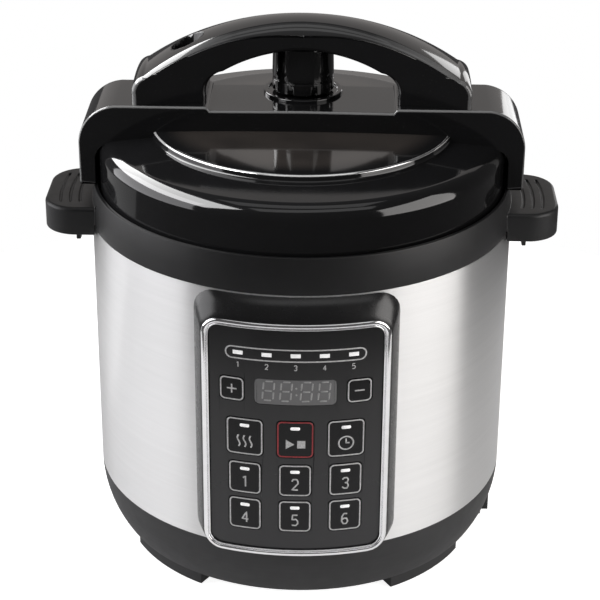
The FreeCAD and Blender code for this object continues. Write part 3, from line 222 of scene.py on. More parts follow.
def lid_gloss(name):
    """Glossy black of the lid, whose flat top carries a painted brown-grey sheen in soft clouds, a painted
    reflection, so it looks a little browner and duller than the rest.
    """
    look = gloss(name)
    black = Field(look, look.shader.inputs["Base Color"].links[0].from_socket)
    flat = look.axis("Z").step((PLATEAU_LEVEL + 0.1) * MM, (PLATEAU_LEVEL + 0.5) * MM)
    # Painted reflection: brown-grey clouds mixed into the base colour over the flat top only
    look.feed(Base_Color=look.mix(flat * look.noise(25.0).step(0.1, 0.7), black, (0.019, 0.0165, 0.015, 1)))
    return look


def chromed(name, dark, light, roughness):
    """Polished plating with a slight cloudiness."""
    look = Look(name, Metallic=1.0)
    cloud = look.noise(180.0, detail=3.0)
    look.feed(Base_Color=look.mix(cloud, dark, light), Roughness=roughness + 0.05 * cloud)
    return look


def brushed(name, dark, light, roughness, lines, spread):
    """Brushed metal: fine lines, long along the way of the brush and close together up it, which spread
    reflections up and down."""
    look = Look(name, Metallic=1.0, Anisotropic=spread, Anisotropic_Rotation=0.25)
    fine = look.noise(1.0, stretch=(30.0, 30.0, lines), detail=6.0, roughness=0.7)
    broad = look.noise(1.0, stretch=(9.0, 9.0, lines / 14), detail=3.0)
    look.feed(Base_Color=look.mix(0.65 * fine + 0.35 * broad, dark, light))
    look.feed(Roughness=roughness + 0.16 * fine)
    look.feed(Normal=look.bump(fine, 0.1, 0.00002))
    return look


def spun(name, dark, light, roughness, rings):
    """Spun metal: fine rings about the pot's axis."""
    look = Look(name, Metallic=1.0)
    across = look.axis("X")
    along = look.axis("Y")
    radius = look.node("ShaderNodeMath", {"operation": "SQRT"}, {0: across * across + along * along})
    turn = look.node("ShaderNodeCombineXYZ", {}, {0: radius * rings, 1: look.axis("Z") * rings})
    fine = look.node("ShaderNodeTexNoise", {}, {"Vector": turn, "Scale": 1.0, "Detail": 3.0})
    look.feed(Base_Color=look.mix(fine, dark, light), Roughness=roughness + 0.14 * fine)
    look.feed(Normal=look.bump(fine, 0.12, 0.00004))
    return look


def panel_film(name, shade, index):
    """Glossy dark film of the key panel, with a painted floor reflection that makes it a little greyer
    towards its foot, and faint smears.
    """
    look = Look(name, IOR=index)
    # Painted reflection of the floor: the base colour is greyer low down and darker towards the top
    height = look.axis("Z").step(0.06, 0.165)
    smear = look.noise(45.0, stretch=(1.0, 1.0, 0.35), detail=5.0)
    tone = look.mix(height, grey(0.016 * shade, 0.1), grey(0.006 * shade, 0.1))
    look.feed(Base_Color=look.mix(smear.step(0.55, 0.8) * 0.25, tone, grey(0.024 * shade, 0.1)))
    look.feed(Roughness=0.17 + 0.12 * smear)
    return look


def printed(name, colour, worn):
    """Screen-printed ink with slightly uneven cover."""
    look = Look(name)
    cover = look.noise(1500.0, detail=3.0)
    look.feed(Base_Color=look.mix(cover.step(0.35, 0.75), worn, colour))
    look.feed(Roughness=0.42 + 0.2 * cover)
    return look


def lens(name, colour, edge, glow):
    """Diffusing plastic with an uneven core and a faint glow."""
    look = Look(name, Emission_Strength=glow)
    core = look.noise(700.0, detail=2.0)
    tone = look.mix(core.step(0.3, 0.7), edge, colour)
    look.feed(Base_Color=tone, Emission_Color=tone, Roughness=0.3 + 0.2 * core)
    return look


def make_looks():
    """Every finish, by the record's material slot or by the name of a printed or lit detail."""
    looks = {
        "gloss_black": gloss("gloss_black"),
        "lid_black": lid_gloss("lid_black"),
        "hood_black": moulded("hood_black", grey(0.006), grey(0.009, 0.1), 0.22, 0.1, 1200.0, 0.00004),
        "satin_black": moulded("satin_black", grey(0.009), grey(0.014, 0.08), 0.34, 0.14, 1800.0,
                               0.00008, IOR=1.4),
        "matt_black": moulded("matt_black", grey(0.011), grey(0.018, 0.12), 0.52, 0.16, 1500.0, 0.00012),
        "fascia_black": panel_film("fascia_film", 1.0, 1.5),
        "key_film": panel_film("key_film", 0.5, 1.33),
        "sleeve_steel": brushed("sleeve_steel", grey(0.6), grey(0.77), 0.26, 5200.0, 0.88),
        "pot_steel": spun("pot_steel", grey(0.55), grey(0.72), 0.16, 3000.0),
        "bright_trim": chromed("bright_trim", grey(0.8), grey(0.92, 0.02), 0.07),
        "heater_aluminium": spun("heater_aluminium", grey(0.5), grey(0.66), 0.32, 1200.0),
        "silicone": moulded("silicone", grey(0.6), grey(0.68), 0.45, 0.15, 900.0, 0.00006),
        "foot_rubber": moulded("foot_rubber", grey(0.018), grey(0.026), 0.7, 0.15, 1200.0, 0.0001),
        "clear_window": moulded("clear_window", (0.12, 0.12, 0.122, 1), (0.155, 0.155, 0.157, 1), 0.18, 0.1,
                                300.0, 0.00002),
        "light_white": lens("light_white", grey(0.95), grey(0.8), 0.35),
        "board_green": moulded("board_green", (0.012, 0.09, 0.03, 1), (0.02, 0.13, 0.05, 1), 0.3, 0.15, 800.0,
                               0.00005),
        "part_grey": moulded("part_grey", grey(0.05), grey(0.08), 0.4, 0.2, 900.0, 0.00008),
        "brass_pins": brushed("brass_pins", (0.62, 0.5, 0.28, 1), (0.78, 0.66, 0.4, 1), 0.18, 900.0, 0.0),
        "cup_clear": moulded("cup_clear", (0.7, 0.72, 0.74, 1), (0.8, 0.82, 0.84, 1), 0.14, 0.1,
                             300.0, 0.00004, Transmission_Weight=0.7, IOR=1.5),
        "ink_white": printed("ink_white", grey(0.64), grey(0.42)),
        "ink_red": printed("ink_red", (0.42, 0.035, 0.04, 1), (0.22, 0.02, 0.025, 1)),
        "ink_ghost": printed("ink_ghost", grey(0.36), grey(0.26)),
    }
    return {name: look.material for name, look in looks.items()}


looks = make_looks()
for row in frame["record"]["subparts"]:
    part = frame["nodes"][row["node"]]
    part.data.materials.clear()
    is_key = row["node"].startswith("key_") and row["material_slot"] == "fascia_black"
    part.data.materials.append(looks["key_film" if is_key else row["material_slot"]])


# Meshes


def enclosed(points):
    """Six times the volume that a closed grid encloses, negative if its faces point inwards: the sum of the
    triple products of each triangle's corners."""
    a, b = points[:-1, :-1], points[1:, :-1]
    c, d = points[1:, 1:], points[:-1, 1:]
    return np.sum(a * np.cross(b, c)) + np.sum(a * np.cross(c, d))


def piece(name, patches, look, body, stands_for=(), painted_highlight=None):
    """A mesh from closed grids of points in millimetres. Each grid holds its seam and poles twice, which are
    merged, so that every patch is a closed skin. The highlight weights tell how strongly each point of the
    first grid carries a painted edge highlight."""
    spots = []
    faces = []
    glints = []
    start = 0
    for patch in patches:
        grid = np.asarray(patch, float)
        glint = np.zeros(grid.shape[:2]) if painted_highlight is None or glints else painted_highlight + np.zeros(grid.shape[:2])
        if enclosed(grid) < 0:
            grid = grid[::-1]
            glint = glint[::-1]
        glints.append(glint.ravel())
        rows, columns = grid.shape[:2]
        index = start + np.arange(rows * columns).reshape(rows, columns)
        quads = np.stack([index[:-1, :-1], index[1:, :-1], index[1:, 1:], index[:-1, 1:]], -1)
        spots.append(grid.reshape(-1, 3))
        faces.append(quads.reshape(-1, 4))
        start += rows * columns
    mesh = bpy.data.meshes.new(name)
    mesh.from_pydata((np.concatenate(spots) * MM).tolist(), [], np.concatenate(faces).tolist())
    # Painted highlight weights, kept as a point attribute that the finish reads
    if painted_highlight is not None:
        mesh.attributes.new("painted_highlight", "FLOAT", "POINT").data.foreach_set("value", np.concatenate(glints))
    work = bmesh.new()
    work.from_mesh(mesh)
    bmesh.ops.remove_doubles(work, verts=work.verts, dist=1e-6)
    bmesh.ops.dissolve_degenerate(work, edges=work.edges, dist=1e-7)
    work.to_mesh(mesh)
    work.free()
    mesh.polygons.foreach_set("use_smooth", np.ones(len(mesh.polygons), bool))
    mesh.materials.append(looks[look])
    item = bpy.data.objects.new(name, mesh)
    bpy.context.scene.collection.objects.link(item)
    item.modifiers.new("even_normals", "WEIGHTED_NORMAL").keep_sharp = True
    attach(item, body)
    if stands_for:
        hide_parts(*stands_for)
    return item


def rounded(corners, closed=False):
    """A polyline through corners (x, y, radius), where each corner is an arc of its radius tangent to both
    sides."""
    spots = np.array([corner[:2] for corner in corners], float)
    count = len(corners)
    path = []
    for index, corner in enumerate(corners):
        ends = not closed and index in (0, count - 1)
        if ends or corner[2] == 0:
            path.append(spots[index][None])
            continue
        back = spots[index - 1] - spots[index]
        on = spots[(index + 1) % count] - spots[index]
        back = back / np.linalg.norm(back)
        on = on / np.linalg.norm(on)
        half = np.arccos(np.clip(back @ on, -1, 1)) / 2
        middle = spots[index] + (back + on) / np.linalg.norm(back + on) * corner[2] / np.sin(half)
        first = spots[index] + back * corner[2] / np.tan(half) - middle
        last = spots[index] + on * corner[2] / np.tan(half) - middle
        sweep = np.linspace(0, 1, ROUND_STEPS + 1)[:, None]
        turn = np.pi - 2 * half
        bend = np.sin((1 - sweep) * turn) * first + np.sin(sweep * turn) * last
        path.append(middle + bend / np.sin(turn))
    path = np.concatenate(path)
    return np.vstack([path, path[:1]]) if closed else path


def revolved(profile, centre=(0, 0), steps=TURN_STEPS):
    """Body of revolution: each profile point (radius, level) is carried round a circle about an upright
    axis."""
    angle = np.linspace(0, 2 * np.pi, steps + 1)[None, :]
    radius, level = profile[:, :1], profile[:, 1:]
    return np.stack([centre[0] + radius * np.cos(angle), centre[1] + radius * np.sin(angle),
                     level + 0 * angle], -1)


def swept_bar(outer, inner, depth_at, outer_round, inner_round):
    """A bar between two side lines in the XZ plane: at each station the section is a rectangle from the inner
    to the outer line, as deep to each side as depth_at tells at that distance across, with its four corners
    rounded. Both ends close to a point."""
    along = outer - inner
    height = np.linalg.norm(along, axis=1)[:, None]
    along = along / height
    middle = (outer + inner) / 2
    half = height / 2
    top = np.minimum(outer_round, half * 0.9) + 0 * half
    low = np.minimum(inner_round, half * 0.9) + 0 * half
    turn = np.linspace(0, np.pi / 2, ROUND_STEPS + 1)[None, :]
    face = np.linspace(0, 1, FACE_STEPS + 2)[None, 1:-1]
    flat = np.linspace(-1, 1, FLAT_STEPS + 2)[None, 1:-1]
    level = [half - top * (1 - np.cos(turn)), (half - top) * (1 - face) - (half - low) * face,
             low * (1 - np.cos(turn[:, ::-1])) - half]
    inset = [top * (1 - np.sin(turn)), 0 * half * face, low * (1 - np.sin(turn[:, ::-1]))]
    up = np.hstack(level + [flat * 0 - half] + [part[:, ::-1] for part in level[::-1]] + [flat * 0 + half])
    inset = np.hstack(inset + [flat * 0 + low] + [part[:, ::-1] for part in inset[::-1]] + [flat * 0 + top])
    count = sum(part.shape[1] for part in level)
    share = np.concatenate([np.ones(count), -flat[0], -np.ones(count), flat[0]])[None, :]
    across = middle[:, :1] + up * along[:, :1]
    grid = np.stack([across, share * (depth_at(across) - inset), middle[:, 1:] + up * along[:, 1:]], -1)
    grid = np.concatenate([grid, grid[:, :1]], 1)
    ends = [np.repeat(grid[k].mean(0)[None, None], grid.shape[1], 1) for k in (0, -1)]
    return np.concatenate([ends[0], grid, ends[1]])


def front_corner(bar):
    """1 in the middle of the rounded upper front edge of a swept bar, 0 elsewhere."""
    column = np.arange(bar.shape[1])
    count = ROUND_STEPS + 1
    front = 2 * (2 * count + FACE_STEPS) + FLAT_STEPS - count
    return 1.0 * (np.abs(column - front - ROUND_STEPS / 2) < ROUND_STEPS / 2 - 0.5)[None, :]


def through(*stretches):
    """One line of points from several stretches, each (points, number of steps), evenly spaced along each."""
    line = []
    for points, steps in stretches:
        points = np.asarray(points, float)
        run = np.concatenate([[0], np.cumsum(np.linalg.norm(np.diff(points, axis=0), axis=1))])
        at = np.linspace(0, run[-1], steps + 1)[:-1]
        line.append(np.stack([np.interp(at, run, points[:, 0]), np.interp(at, run, points[:, 1])], -1))
    line.append(np.asarray(stretches[-1][0], float)[-1:])
    return np.concatenate(line)


def with_mirror(line):
    """The left half of a line, then its mirror image to the right."""
    return np.concatenate([line, line[-2::-1] * [-1, 1]])


def arc(start, stop, rise, steps=48):
    """Points on the arc from start to stop whose middle rises over the chord, to its left if positive."""
    start, stop = np.array(start, float), np.array(stop, float)
    chord = stop - start
    length = np.linalg.norm(chord)
    left = np.array([-chord[1], chord[0]]) / length
    radius = length ** 2 / (8 * abs(rise)) + abs(rise) / 2
    centre = (start + stop) / 2 + left * np.sign(rise) * (abs(rise) - radius)
    first = start - centre
    half = np.arcsin(min(1.0, length / 2 / radius))
    if abs(rise) > radius:
        half = np.pi - half
    turn = -np.sign(rise) * np.linspace(0, 2 * half, steps + 1)
    return centre + np.stack([first[0] * np.cos(turn) - first[1] * np.sin(turn),
                              first[0] * np.sin(turn) + first[1] * np.cos(turn)], -1)


# Lid


def lid_dome():
    """Lid: a crowned disc whose height falls with the square of the radius, a rounded rim, a step, a sloping
    shoulder, an upright skirt, and the inner wall, all revolved."""
    radius = np.linspace(0, PLATEAU_RADIUS - 1.6, 40)
    crown = np.stack([radius, PLATEAU_LEVEL + PLATEAU_CROWN * (1 - (radius / PLATEAU_RADIUS) ** 2)], -1)
    rim = rounded([
        (PLATEAU_RADIUS - 1.6, PLATEAU_LEVEL, 0),
        (PLATEAU_RADIUS, PLATEAU_LEVEL - 0.1, 1.1),
        (PLATEAU_RADIUS + 0.3, PLATEAU_LEVEL - 3.2, 1.2),
        (LID_RADIUS, SHOULDER_LEVEL + 4.2, SHOULDER_ROUND),
        (LID_RADIUS, SKIRT_BOTTOM, 0.7),
        (LID_RADIUS - LID_WALL, SKIRT_BOTTOM, 0.5),
        (LID_RADIUS - LID_WALL, SHOULDER_LEVEL, 2.0),
        (PLATEAU_RADIUS, PLATEAU_LEVEL - 6.0, 2.0),
        (0, PLATEAU_LEVEL - 5.0, 0),
    ])
    profile = np.concatenate([crown, rim])
    # Painted highlight on the plateau's rim edge, fainter towards the left side, standing in for the lamps'
    # highlight line
    edge = (np.abs(profile[:, :1] - PLATEAU_RADIUS + 0.2) < 0.6) * (profile[:, 1:] > PLATEAU_LEVEL - 0.75)
    angle = np.linspace(0, 2 * np.pi, TURN_STEPS + 1)[None, :]
    painted_glint_by_side = np.clip(0.3 + 0.7 * (np.cos(angle) + 0.75) / 0.6, 0.3, 1)
    piece("lid_dome", [revolved(profile)], "lid_black", "lid", ["lid_cover"], painted_glint_by_side * edge)


def bridge_bar():
    """Bridge: a bar that follows the lid's outside on its lower line and the ears and band on its upper one,
    with the valve's round tower."""
    corner = arc((-EAR_REACH, EAR_TOP - 21.0), (-EAR_REACH + 19.0, EAR_TOP), 5.6)
    upper = through(
        ([(-EAR_REACH, EAR_FOOT), (-EAR_REACH, EAR_TOP - 21.0)], 12),
        (corner, 24),
        ([(-EAR_REACH + 19.0, EAR_TOP), (-EAR_INNER - 0.6, EAR_TOP)], 16),
        (arc((-EAR_INNER - 0.6, EAR_TOP), (-EAR_INNER + 1.6, BRIDGE_TOP), 0.4), 4),
        ([(-EAR_INNER + 1.6, BRIDGE_TOP), (0, BRIDGE_TOP + 0.4)], 12),
    )
    lower = through(
        ([(-LID_RADIUS - 0.2, EAR_FOOT), (-LID_RADIUS - 0.2, SHOULDER_LEVEL - 6.0)], 12),
        (arc((-LID_RADIUS - 0.2, SHOULDER_LEVEL - 6.0), (-LID_RADIUS + 6.0, SHOULDER_LEVEL + 3.0), 2.2), 24),
        ([(-LID_RADIUS + 6.0, SHOULDER_LEVEL + 3.0), (-EAR_INNER - 0.6, PLATEAU_LEVEL - 1.0)], 16),
        ([(-EAR_INNER - 0.6, PLATEAU_LEVEL - 1.0), (-EAR_INNER + 1.6, PLATEAU_LEVEL - 1.0)], 4),
        ([(-EAR_INNER + 1.6, PLATEAU_LEVEL - 1.0), (0, PLATEAU_LEVEL - 1.0)], 12),
    )
    bar = swept_bar(with_mirror(upper), with_mirror(lower), bridge_depth, 1.1, 0.5)
    profile = rounded([
        (0, PLATEAU_LEVEL - 3, 0),
        (TOWER_RADIUS, PLATEAU_LEVEL - 3, 0),
        (TOWER_RADIUS, EAR_TOP, 0.7),
        (TOWER_RADIUS - 2.3, EAR_TOP, 0.5),
        (TOWER_RADIUS - 2.9, EAR_TOP - 1.2, 0.3),
        (0, EAR_TOP - 1.2, 0),
    ])
    tower = revolved(profile, (0, VALVE_Y), 96)
    # Painted highlight along the bar's rounded upper front edge
    glint = 0.1 * front_corner(bar)
    piece("bridge_bar", [bar, tower], "gloss_black", "lid", ["lid_bridge"], glint)


def bridge_depth(across):
    """Half depth of the bridge, the same all along."""
    return BRIDGE_HALF_DEPTH + 0 * across


def arch_handle():
    """Carrying handle: an arch between its back and its underside, whose half depth grows with the square of
    the distance from the middle, with rounded edges, and a round well sunk in the top of the left leg."""
    upper = arch_line(ARCH_REACH, ARCH_SHOULDER_FOOT, ARCH_SHOULDER_INSET, ARCH_SHOULDER, 2.2, ARCH_TOP)
    lower = arch_line(EAR_INNER, GRIP_SHOULDER_FOOT, GRIP_SHOULDER_INSET, GRIP_SHOULDER, 3.4, ARCH_UNDER)
    edge = 2.4 + 3.2 * np.clip(1 - np.abs(upper[:, :1]) / ARCH_REACH, 0, 1) ** 0.7
    grid = swept_bar(upper, lower, arch_depth, edge, 2.2)
    back = np.arange(grid.shape[1])
    back = (back <= ROUND_STEPS) | (back >= grid.shape[1] - FLAT_STEPS - 2 - ROUND_STEPS)
    grid[..., 2] -= ARCH_CROWN * back * (grid[..., 1] / arch_depth(grid[..., 0])) ** 2
    away = np.hypot(grid[..., 0] - WELL_X, grid[..., 1])
    sunk = np.clip((WELL_RADIUS + 0.4 - away) / 0.9, 0, 1)
    sunk = sunk * sunk * (3 - 2 * sunk) * (grid[..., 2] > WELL_FLOOR)
    grid[..., 2] += sunk * (WELL_FLOOR - grid[..., 2])
    # Painted highlight along the handle's upper front edge, stronger towards the shoulders than in the middle
    glint = np.clip((np.abs(grid[..., 0]) - 30.0) / 40.0, 0.12, 1.0) * front_corner(grid)
    piece("arch_handle", [grid], "gloss_black", "lid", ["lid_handle"], 0.1 * glint)


def arch_line(reach, bend_foot, inset, shoulder, bulge, top):
    """One side line of the arch: upright from its foot, round a shoulder that bulges, and over the top in one
    long arc."""
    left = (-reach + inset, shoulder)
    right = (reach - inset, shoulder)
    half = through(
        ([(-reach, ARCH_FOOT), (-reach, bend_foot)], 8),
        (arc((-reach, bend_foot), left, bulge), 16),
        (arc(left, right, top - shoulder, 96)[:49], 110),
    )
    return with_mirror(half)


def arch_depth(across):
    """Half depth of the handle at a distance across."""
    return ARCH_HALF_DEPTH + ARCH_FLARE * np.clip(np.abs(across) / ARCH_REACH, 0, 1) ** 2


def knob_turned():
    """Knob of the steam valve: a turned profile with a fine groove, whose radius is cut back by notches at
    its lower edge."""
    profile = rounded([
        (0, KNOB_LOW, 0),
        (KNOB_RADIUS, KNOB_LOW, 0.5),
        (KNOB_RADIUS, KNOB_LOW + NOTCH_HEIGHT, 0),
        (KNOB_RADIUS, KNOB_LOW + 6, 0.3),
        (KNOB_RADIUS - 0.8, KNOB_LOW + 6.1, 0.2),
        (KNOB_RADIUS - 0.8, KNOB_LOW + 6.8, 0.2),
        (KNOB_RADIUS, KNOB_LOW + 6.9, 0.3),
        (KNOB_RADIUS - 0.4, KNOB_TOP, 1.6),
        (0, KNOB_TOP + 0.3, 0),
    ])
    steps = 256
    grid = revolved(profile, (0, 0), steps)
    angle = np.linspace(0, 2 * np.pi, steps + 1)
    notch = np.clip((np.cos(KNOB_NOTCHES * angle + np.pi) - 0.72) / 0.12, 0, 1)
    low = np.clip((KNOB_LOW + NOTCH_HEIGHT - grid[..., 2]) / 0.3, 0, 1)
    off_axis = grid[..., 0] ** 2 + grid[..., 1] ** 2 > 1
    shrink = 1 - NOTCH_SHARE * notch[None, :] * low * off_axis
    grid[..., 0] *= shrink
    grid[..., 1] *= shrink
    grid[..., 1] += VALVE_Y
    piece("knob_turned", [grid], "gloss_black", "valve_knob", ["valve_knob"])


# Front panel


def on_panel(flat, radius):
    """Points (across, up) laid on the panel's upright cylinder of a radius."""
    across, up = flat[..., 0], flat[..., 1]
    return np.stack([across, -np.sqrt(np.maximum(radius ** 2 - across ** 2, 1)) + 0 * up, up], -1)


def rectangle_path(middle, half_width, half_height, corner):
    """Closed path of a rectangle with quarter-round corners and evenly divided sides."""
    x, z = middle
    wide, high = half_width - corner, half_height - corner
    turn = np.linspace(0, np.pi / 2, ROUND_STEPS + 1)
    side = np.linspace(0, 1, SIDE_STEPS + 1)[1:-1, None]
    path = []
    for number, (across, up) in enumerate(((wide, high), (-wide, high), (-wide, -high), (wide, -high))):
        angle = turn + number * np.pi / 2
        bend = np.stack([x + across + corner * np.cos(angle), z + up + corner * np.sin(angle)], -1)
        if path:
            path.append(path[-1][-1] * (1 - side) + bend[0] * side)
        path.append(bend)
    path.append(path[-1][-1] * (1 - side) + path[0][0] * side)
    path.append(path[0][:1])
    return np.concatenate(path)


def line_on_panel(path, width, face, closed):
    """A printed line: a thin flat strip of a width carried along a path on the panel, just proud of its
    face."""
    path = np.asarray(path, float)
    if closed:
        ahead = np.roll(path[:-1], -1, 0) - np.roll(path[:-1], 1, 0)
        ahead = np.vstack([ahead, ahead[:1]])
    else:
        ahead = np.gradient(path, axis=0)
    ahead = ahead / np.linalg.norm(ahead, axis=1)[:, None]
    side = np.stack([-ahead[:, 1], ahead[:, 0]], -1) * width / 2
    low, high = face - PRINT_SUNK, face + PRINT_PROUD
    rails = [(1, low), (1, high), (-1, high), (-1, low), (1, low)]
    grid = np.stack([on_panel(path + sign * side, radius) for sign, radius in rails], 1)
    if closed:
        return grid
    ends = [np.repeat(grid[k].mean(0)[None, None], grid.shape[1], 1) for k in (0, -1)]
    return np.concatenate([ends[0], grid, ends[1]])


def pad_on_panel(path, face, proud=PRINT_PROUD):
    """A filled spot: a closed path on the panel, raised a little, closed at its middle above and below."""
    middle = np.repeat(path[:-1].mean(0)[None], len(path), 0)
    low, high = face - PRINT_SUNK, face + proud
    rails = [(middle, low), (path, low), (path, high), (middle, high)]
    return np.stack([on_panel(line, radius) for line, radius in rails])


def stroke(points, steps=10):
    """A polyline refined to even steps."""
    return through(*[([points[k], points[k + 1]], steps) for k in range(len(points) - 1)])


# Strokes of the numerals on a grid one wide and two high
NUMERALS = {
    1: [[(0.2, 1.6), (0.6, 2.0), (0.6, 0.0)]],
    2: [[(0.0, 1.6), (0.2, 2.0), (0.8, 2.0), (1.0, 1.6), (1.0, 1.2), (0.0, 0.0), (1.0, 0.0)]],
    3: [[(0.0, 1.7), (0.3, 2.0), (0.8, 2.0), (1.0, 1.6), (0.8, 1.1), (0.4, 1.05)],
        [(0.4, 1.05), (0.8, 1.0), (1.0, 0.5), (0.8, 0.0), (0.3, 0.0), (0.0, 0.3)]],
    4: [[(0.75, 0.0), (0.75, 2.0), (0.0, 0.6), (1.05, 0.6)]],
    5: [[(0.95, 2.0), (0.15, 2.0), (0.05, 1.1), (0.7, 1.2), (1.0, 0.8), (1.0, 0.4), (0.7, 0.0), (0.0, 0.05)]],
    6: [[(0.9, 1.9), (0.4, 2.0), (0.05, 1.4), (0.0, 0.5), (0.3, 0.0), (0.75, 0.0), (1.0, 0.4), (0.85, 1.0),
         (0.3, 1.05), (0.02, 0.7)]],
}


def numeral(number, middle, height, width, face):
    unit = height / 2
    corner = np.array(middle) - [unit / 2, unit]
    return [line_on_panel(stroke(np.array(points) * unit + corner, 4), width, face, False)
            for points in NUMERALS[number]]


def wave(x, z, height, swing):
    """A short upright wave, for warmth."""
    at = np.linspace(0, 1, 25)
    return np.stack([x + swing * np.sin(2 * np.pi * at), z + height * (at - 0.5)], -1)


def ring_path(middle, radius, steps=40):
    angle = np.linspace(0, 2 * np.pi, steps + 1)
    return np.stack([middle[0] + radius * np.cos(angle), middle[1] + radius * np.sin(angle)], -1)


def pen_line(path, closed=False):
    """A line of the signs' pen width on a key's face."""
    return line_on_panel(path, PEN_WIDTH, KEY_FACE, closed)


def symbol(name, x, z):
    """The generic sign of a key, in the middle of its lower part."""
    hub = np.array([x, z - SIGN_DROP])
    level = stroke([(x - 2.4, z), (x + 2.4, z)])
    if name == "key_hour":
        return [pen_line(level), pen_line(stroke([(x, z - 2.4), (x, z + 2.4)]))]
    if name == "key_minute":
        return [pen_line(level)]
    if name == "key_warm":
        return [pen_line(wave(x + shift, hub[1], 6.5, 0.6)) for shift in (-3, 0, 3)]
    if name == "key_start":
        triangle = hub + np.array([(-4.6, -2.6), (-4.6, 2.6), (-0.4, 0), (-4.6, -2.6)])
        square = hub + np.array([(1.0, -2.1), (5.0, -2.1), (5.0, 2.1), (1.0, 2.1), (1.0, -2.1)])
        return [pad_on_panel(triangle, KEY_FACE), pad_on_panel(square, KEY_FACE)]
    if name == "key_timer":
        hands = hub + np.array([(0, 2.4), (0, 0), (1.7, 0)])
        return [pen_line(ring_path(hub, 3.6), True), pen_line(stroke(hands))]
    return numeral(int(name[-1]), (x, z - 2.2), 6.0, PEN_WIDTH, KEY_FACE)


def key_prints():
    """On each key its outline, its sign and, except on the time keys, a light bar."""
    for name in sorted(frame["nodes"]):
        if not name.startswith("key_") or name == "key_switches":
            continue
        low, high = (np.array(corner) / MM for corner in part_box(name))
        x, z = (low[0] + high[0]) / 2, (low[2] + high[2]) / 2
        half_width, half_height = (high[0] - low[0]) / 2, (high[2] - low[2]) / 2
        inset = 0.65
        border = rectangle_path((x, z), half_width - inset, half_height - inset, 2.0)
        ink = "ink_red" if name == "key_start" else "ink_white"
        lines = [line_on_panel(border, 0.7, KEY_FACE, True)]
        piece(name + "_border", lines, ink, name)
        piece(name + "_sign", symbol(name, x, z), "ink_white", name)
        if name not in ("key_hour", "key_minute"):
            bar = rectangle_path((x, z + half_height - 4.0), 2.35, 0.85, 0.7)
            piece(name + "_light", [pad_on_panel(bar, KEY_FACE, 0.15)], "light_white", name)


def display_digits():
    """Four unlit seven-bar digits and a colon behind the window."""
    low, high = (np.array(corner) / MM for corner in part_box("display_window"))
    middle = (low[2] + high[2]) / 2 + 0.6
    bars = []
    half, tall, thick = 2.1, 2.6, 0.85
    level_bars = [(0, 2, 0), (0, 0, 0), (0, -2, 0)]
    upright_bars = [(-1, 1, 1), (1, 1, 1), (-1, -1, 1), (1, -1, 1)]
    for place in (-13.2, -4.6, 5.4, 14.0):
        for x, z, upright in level_bars + upright_bars:
            spot = np.array([place + x * half * 1.25, middle + z * tall])
            tip = tall - 0.5 if upright else half - 0.2
            end = tip - thick / 2
            side = thick / 2
            span = np.array([(-tip, 0), (-end, side), (end, side), (tip, 0), (end, -side), (-end, -side),
                             (-tip, 0)])
            span = span[:, ::-1] if upright else span
            lean = np.stack([span[:, 0] + 0.08 * span[:, 1] + 0.08 * z * tall, span[:, 1]], -1)
            bars.append(pad_on_panel(spot + lean, FASCIA_RADIUS, 0.03))
    for rise in (-1.8, 1.8):
        bars.append(pad_on_panel(ring_path((0.4, middle + rise), 0.55, 16), FASCIA_RADIUS, 0.03))
    piece("display_digits", bars, "ink_ghost", "base")


def indicator_print():
    """Outline round the five lights, with a small numeral under each."""
    low, high = (np.array(corner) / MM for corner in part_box("indicator_lights"))
    level = (low[2] + high[2]) / 2
    marks = [line_on_panel(rectangle_path((0, level), 34.0, 3.1, 3.0), 0.7, FASCIA_RADIUS, True)]
    for number in range(5):
        marks += numeral(number + 1, ((number - 2) * LIGHT_PITCH, level - 6.4), 2.7, 0.42, FASCIA_RADIUS)
    piece("indicator_print", marks, "ink_white", "base")


def panel_rail(half_width, low, high, corner, radius):
    """A rounded rectangle between two levels, laid on the panel's cylinder of a radius."""
    path = rectangle_path((0, (low + high) / 2), half_width, (high - low) / 2, corner)
    return on_panel(path, radius)


def trim_frame():
    """Bright frame: a broad bead, a groove and a thin inner bead carried round a rounded rectangle on the
    panel. The section's points are (inset, radius, rounding)."""
    low, high = (np.array(corner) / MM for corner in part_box("chrome_trim"))
    section = rounded([
        (0.0, 116.9, 0), (0.0, 118.5, 0.9), (2.2, 118.5, 0.9), (2.35, 117.35, 0.1), (2.7, 117.35, 0.1),
        (2.75, 117.9, 0.28), (3.4, 117.9, 0.28), (3.45, 116.9, 0), (0.0, 116.9, 0),
    ])
    rails = [panel_rail(high[0] - inset, low[2] + inset, high[2] - inset, 9.0 - inset, radius)
             for inset, radius in section]
    piece("trim_frame", [np.stack(rails)], "bright_trim", "base", ["chrome_trim"])


def panel_hood():
    """Housing of the panel: rounded rectangles that narrow from the sleeve to the face, with a sloping hood
    above, a rounded front edge and a recess for the fascia. Each is (half width, low, high, corner,
    radius)."""
    sizes = [
        (50.2, 41.8, 182.6, 11.0, 108.4), (50.2, 41.8, 182.6, 11.0, 110.3), (48.8, 41.7, 178.9, 10.4, 113.4),
        (47.2, 41.6, 174.4, 9.7, 116.2), (46.8, 41.6, 173.4, 9.5, 116.7), (46.3, 42.0, 172.6, 9.2, 117.05),
        (45.5, 42.8, 171.6, 8.6, 117.2), (43.2, 45.1, 168.6, 6.6, 117.2), (43.0, 45.3, 168.4, 6.4, 117.0),
        (43.0, 45.3, 168.4, 6.4, 108.4), (50.2, 41.8, 182.6, 11.0, 108.4),
    ]
    rails = np.stack([panel_rail(*size) for size in sizes])
    piece("panel_hood", [rails], "hood_black", "base", ["panel_housing"])


# Edges of the carried-over solids


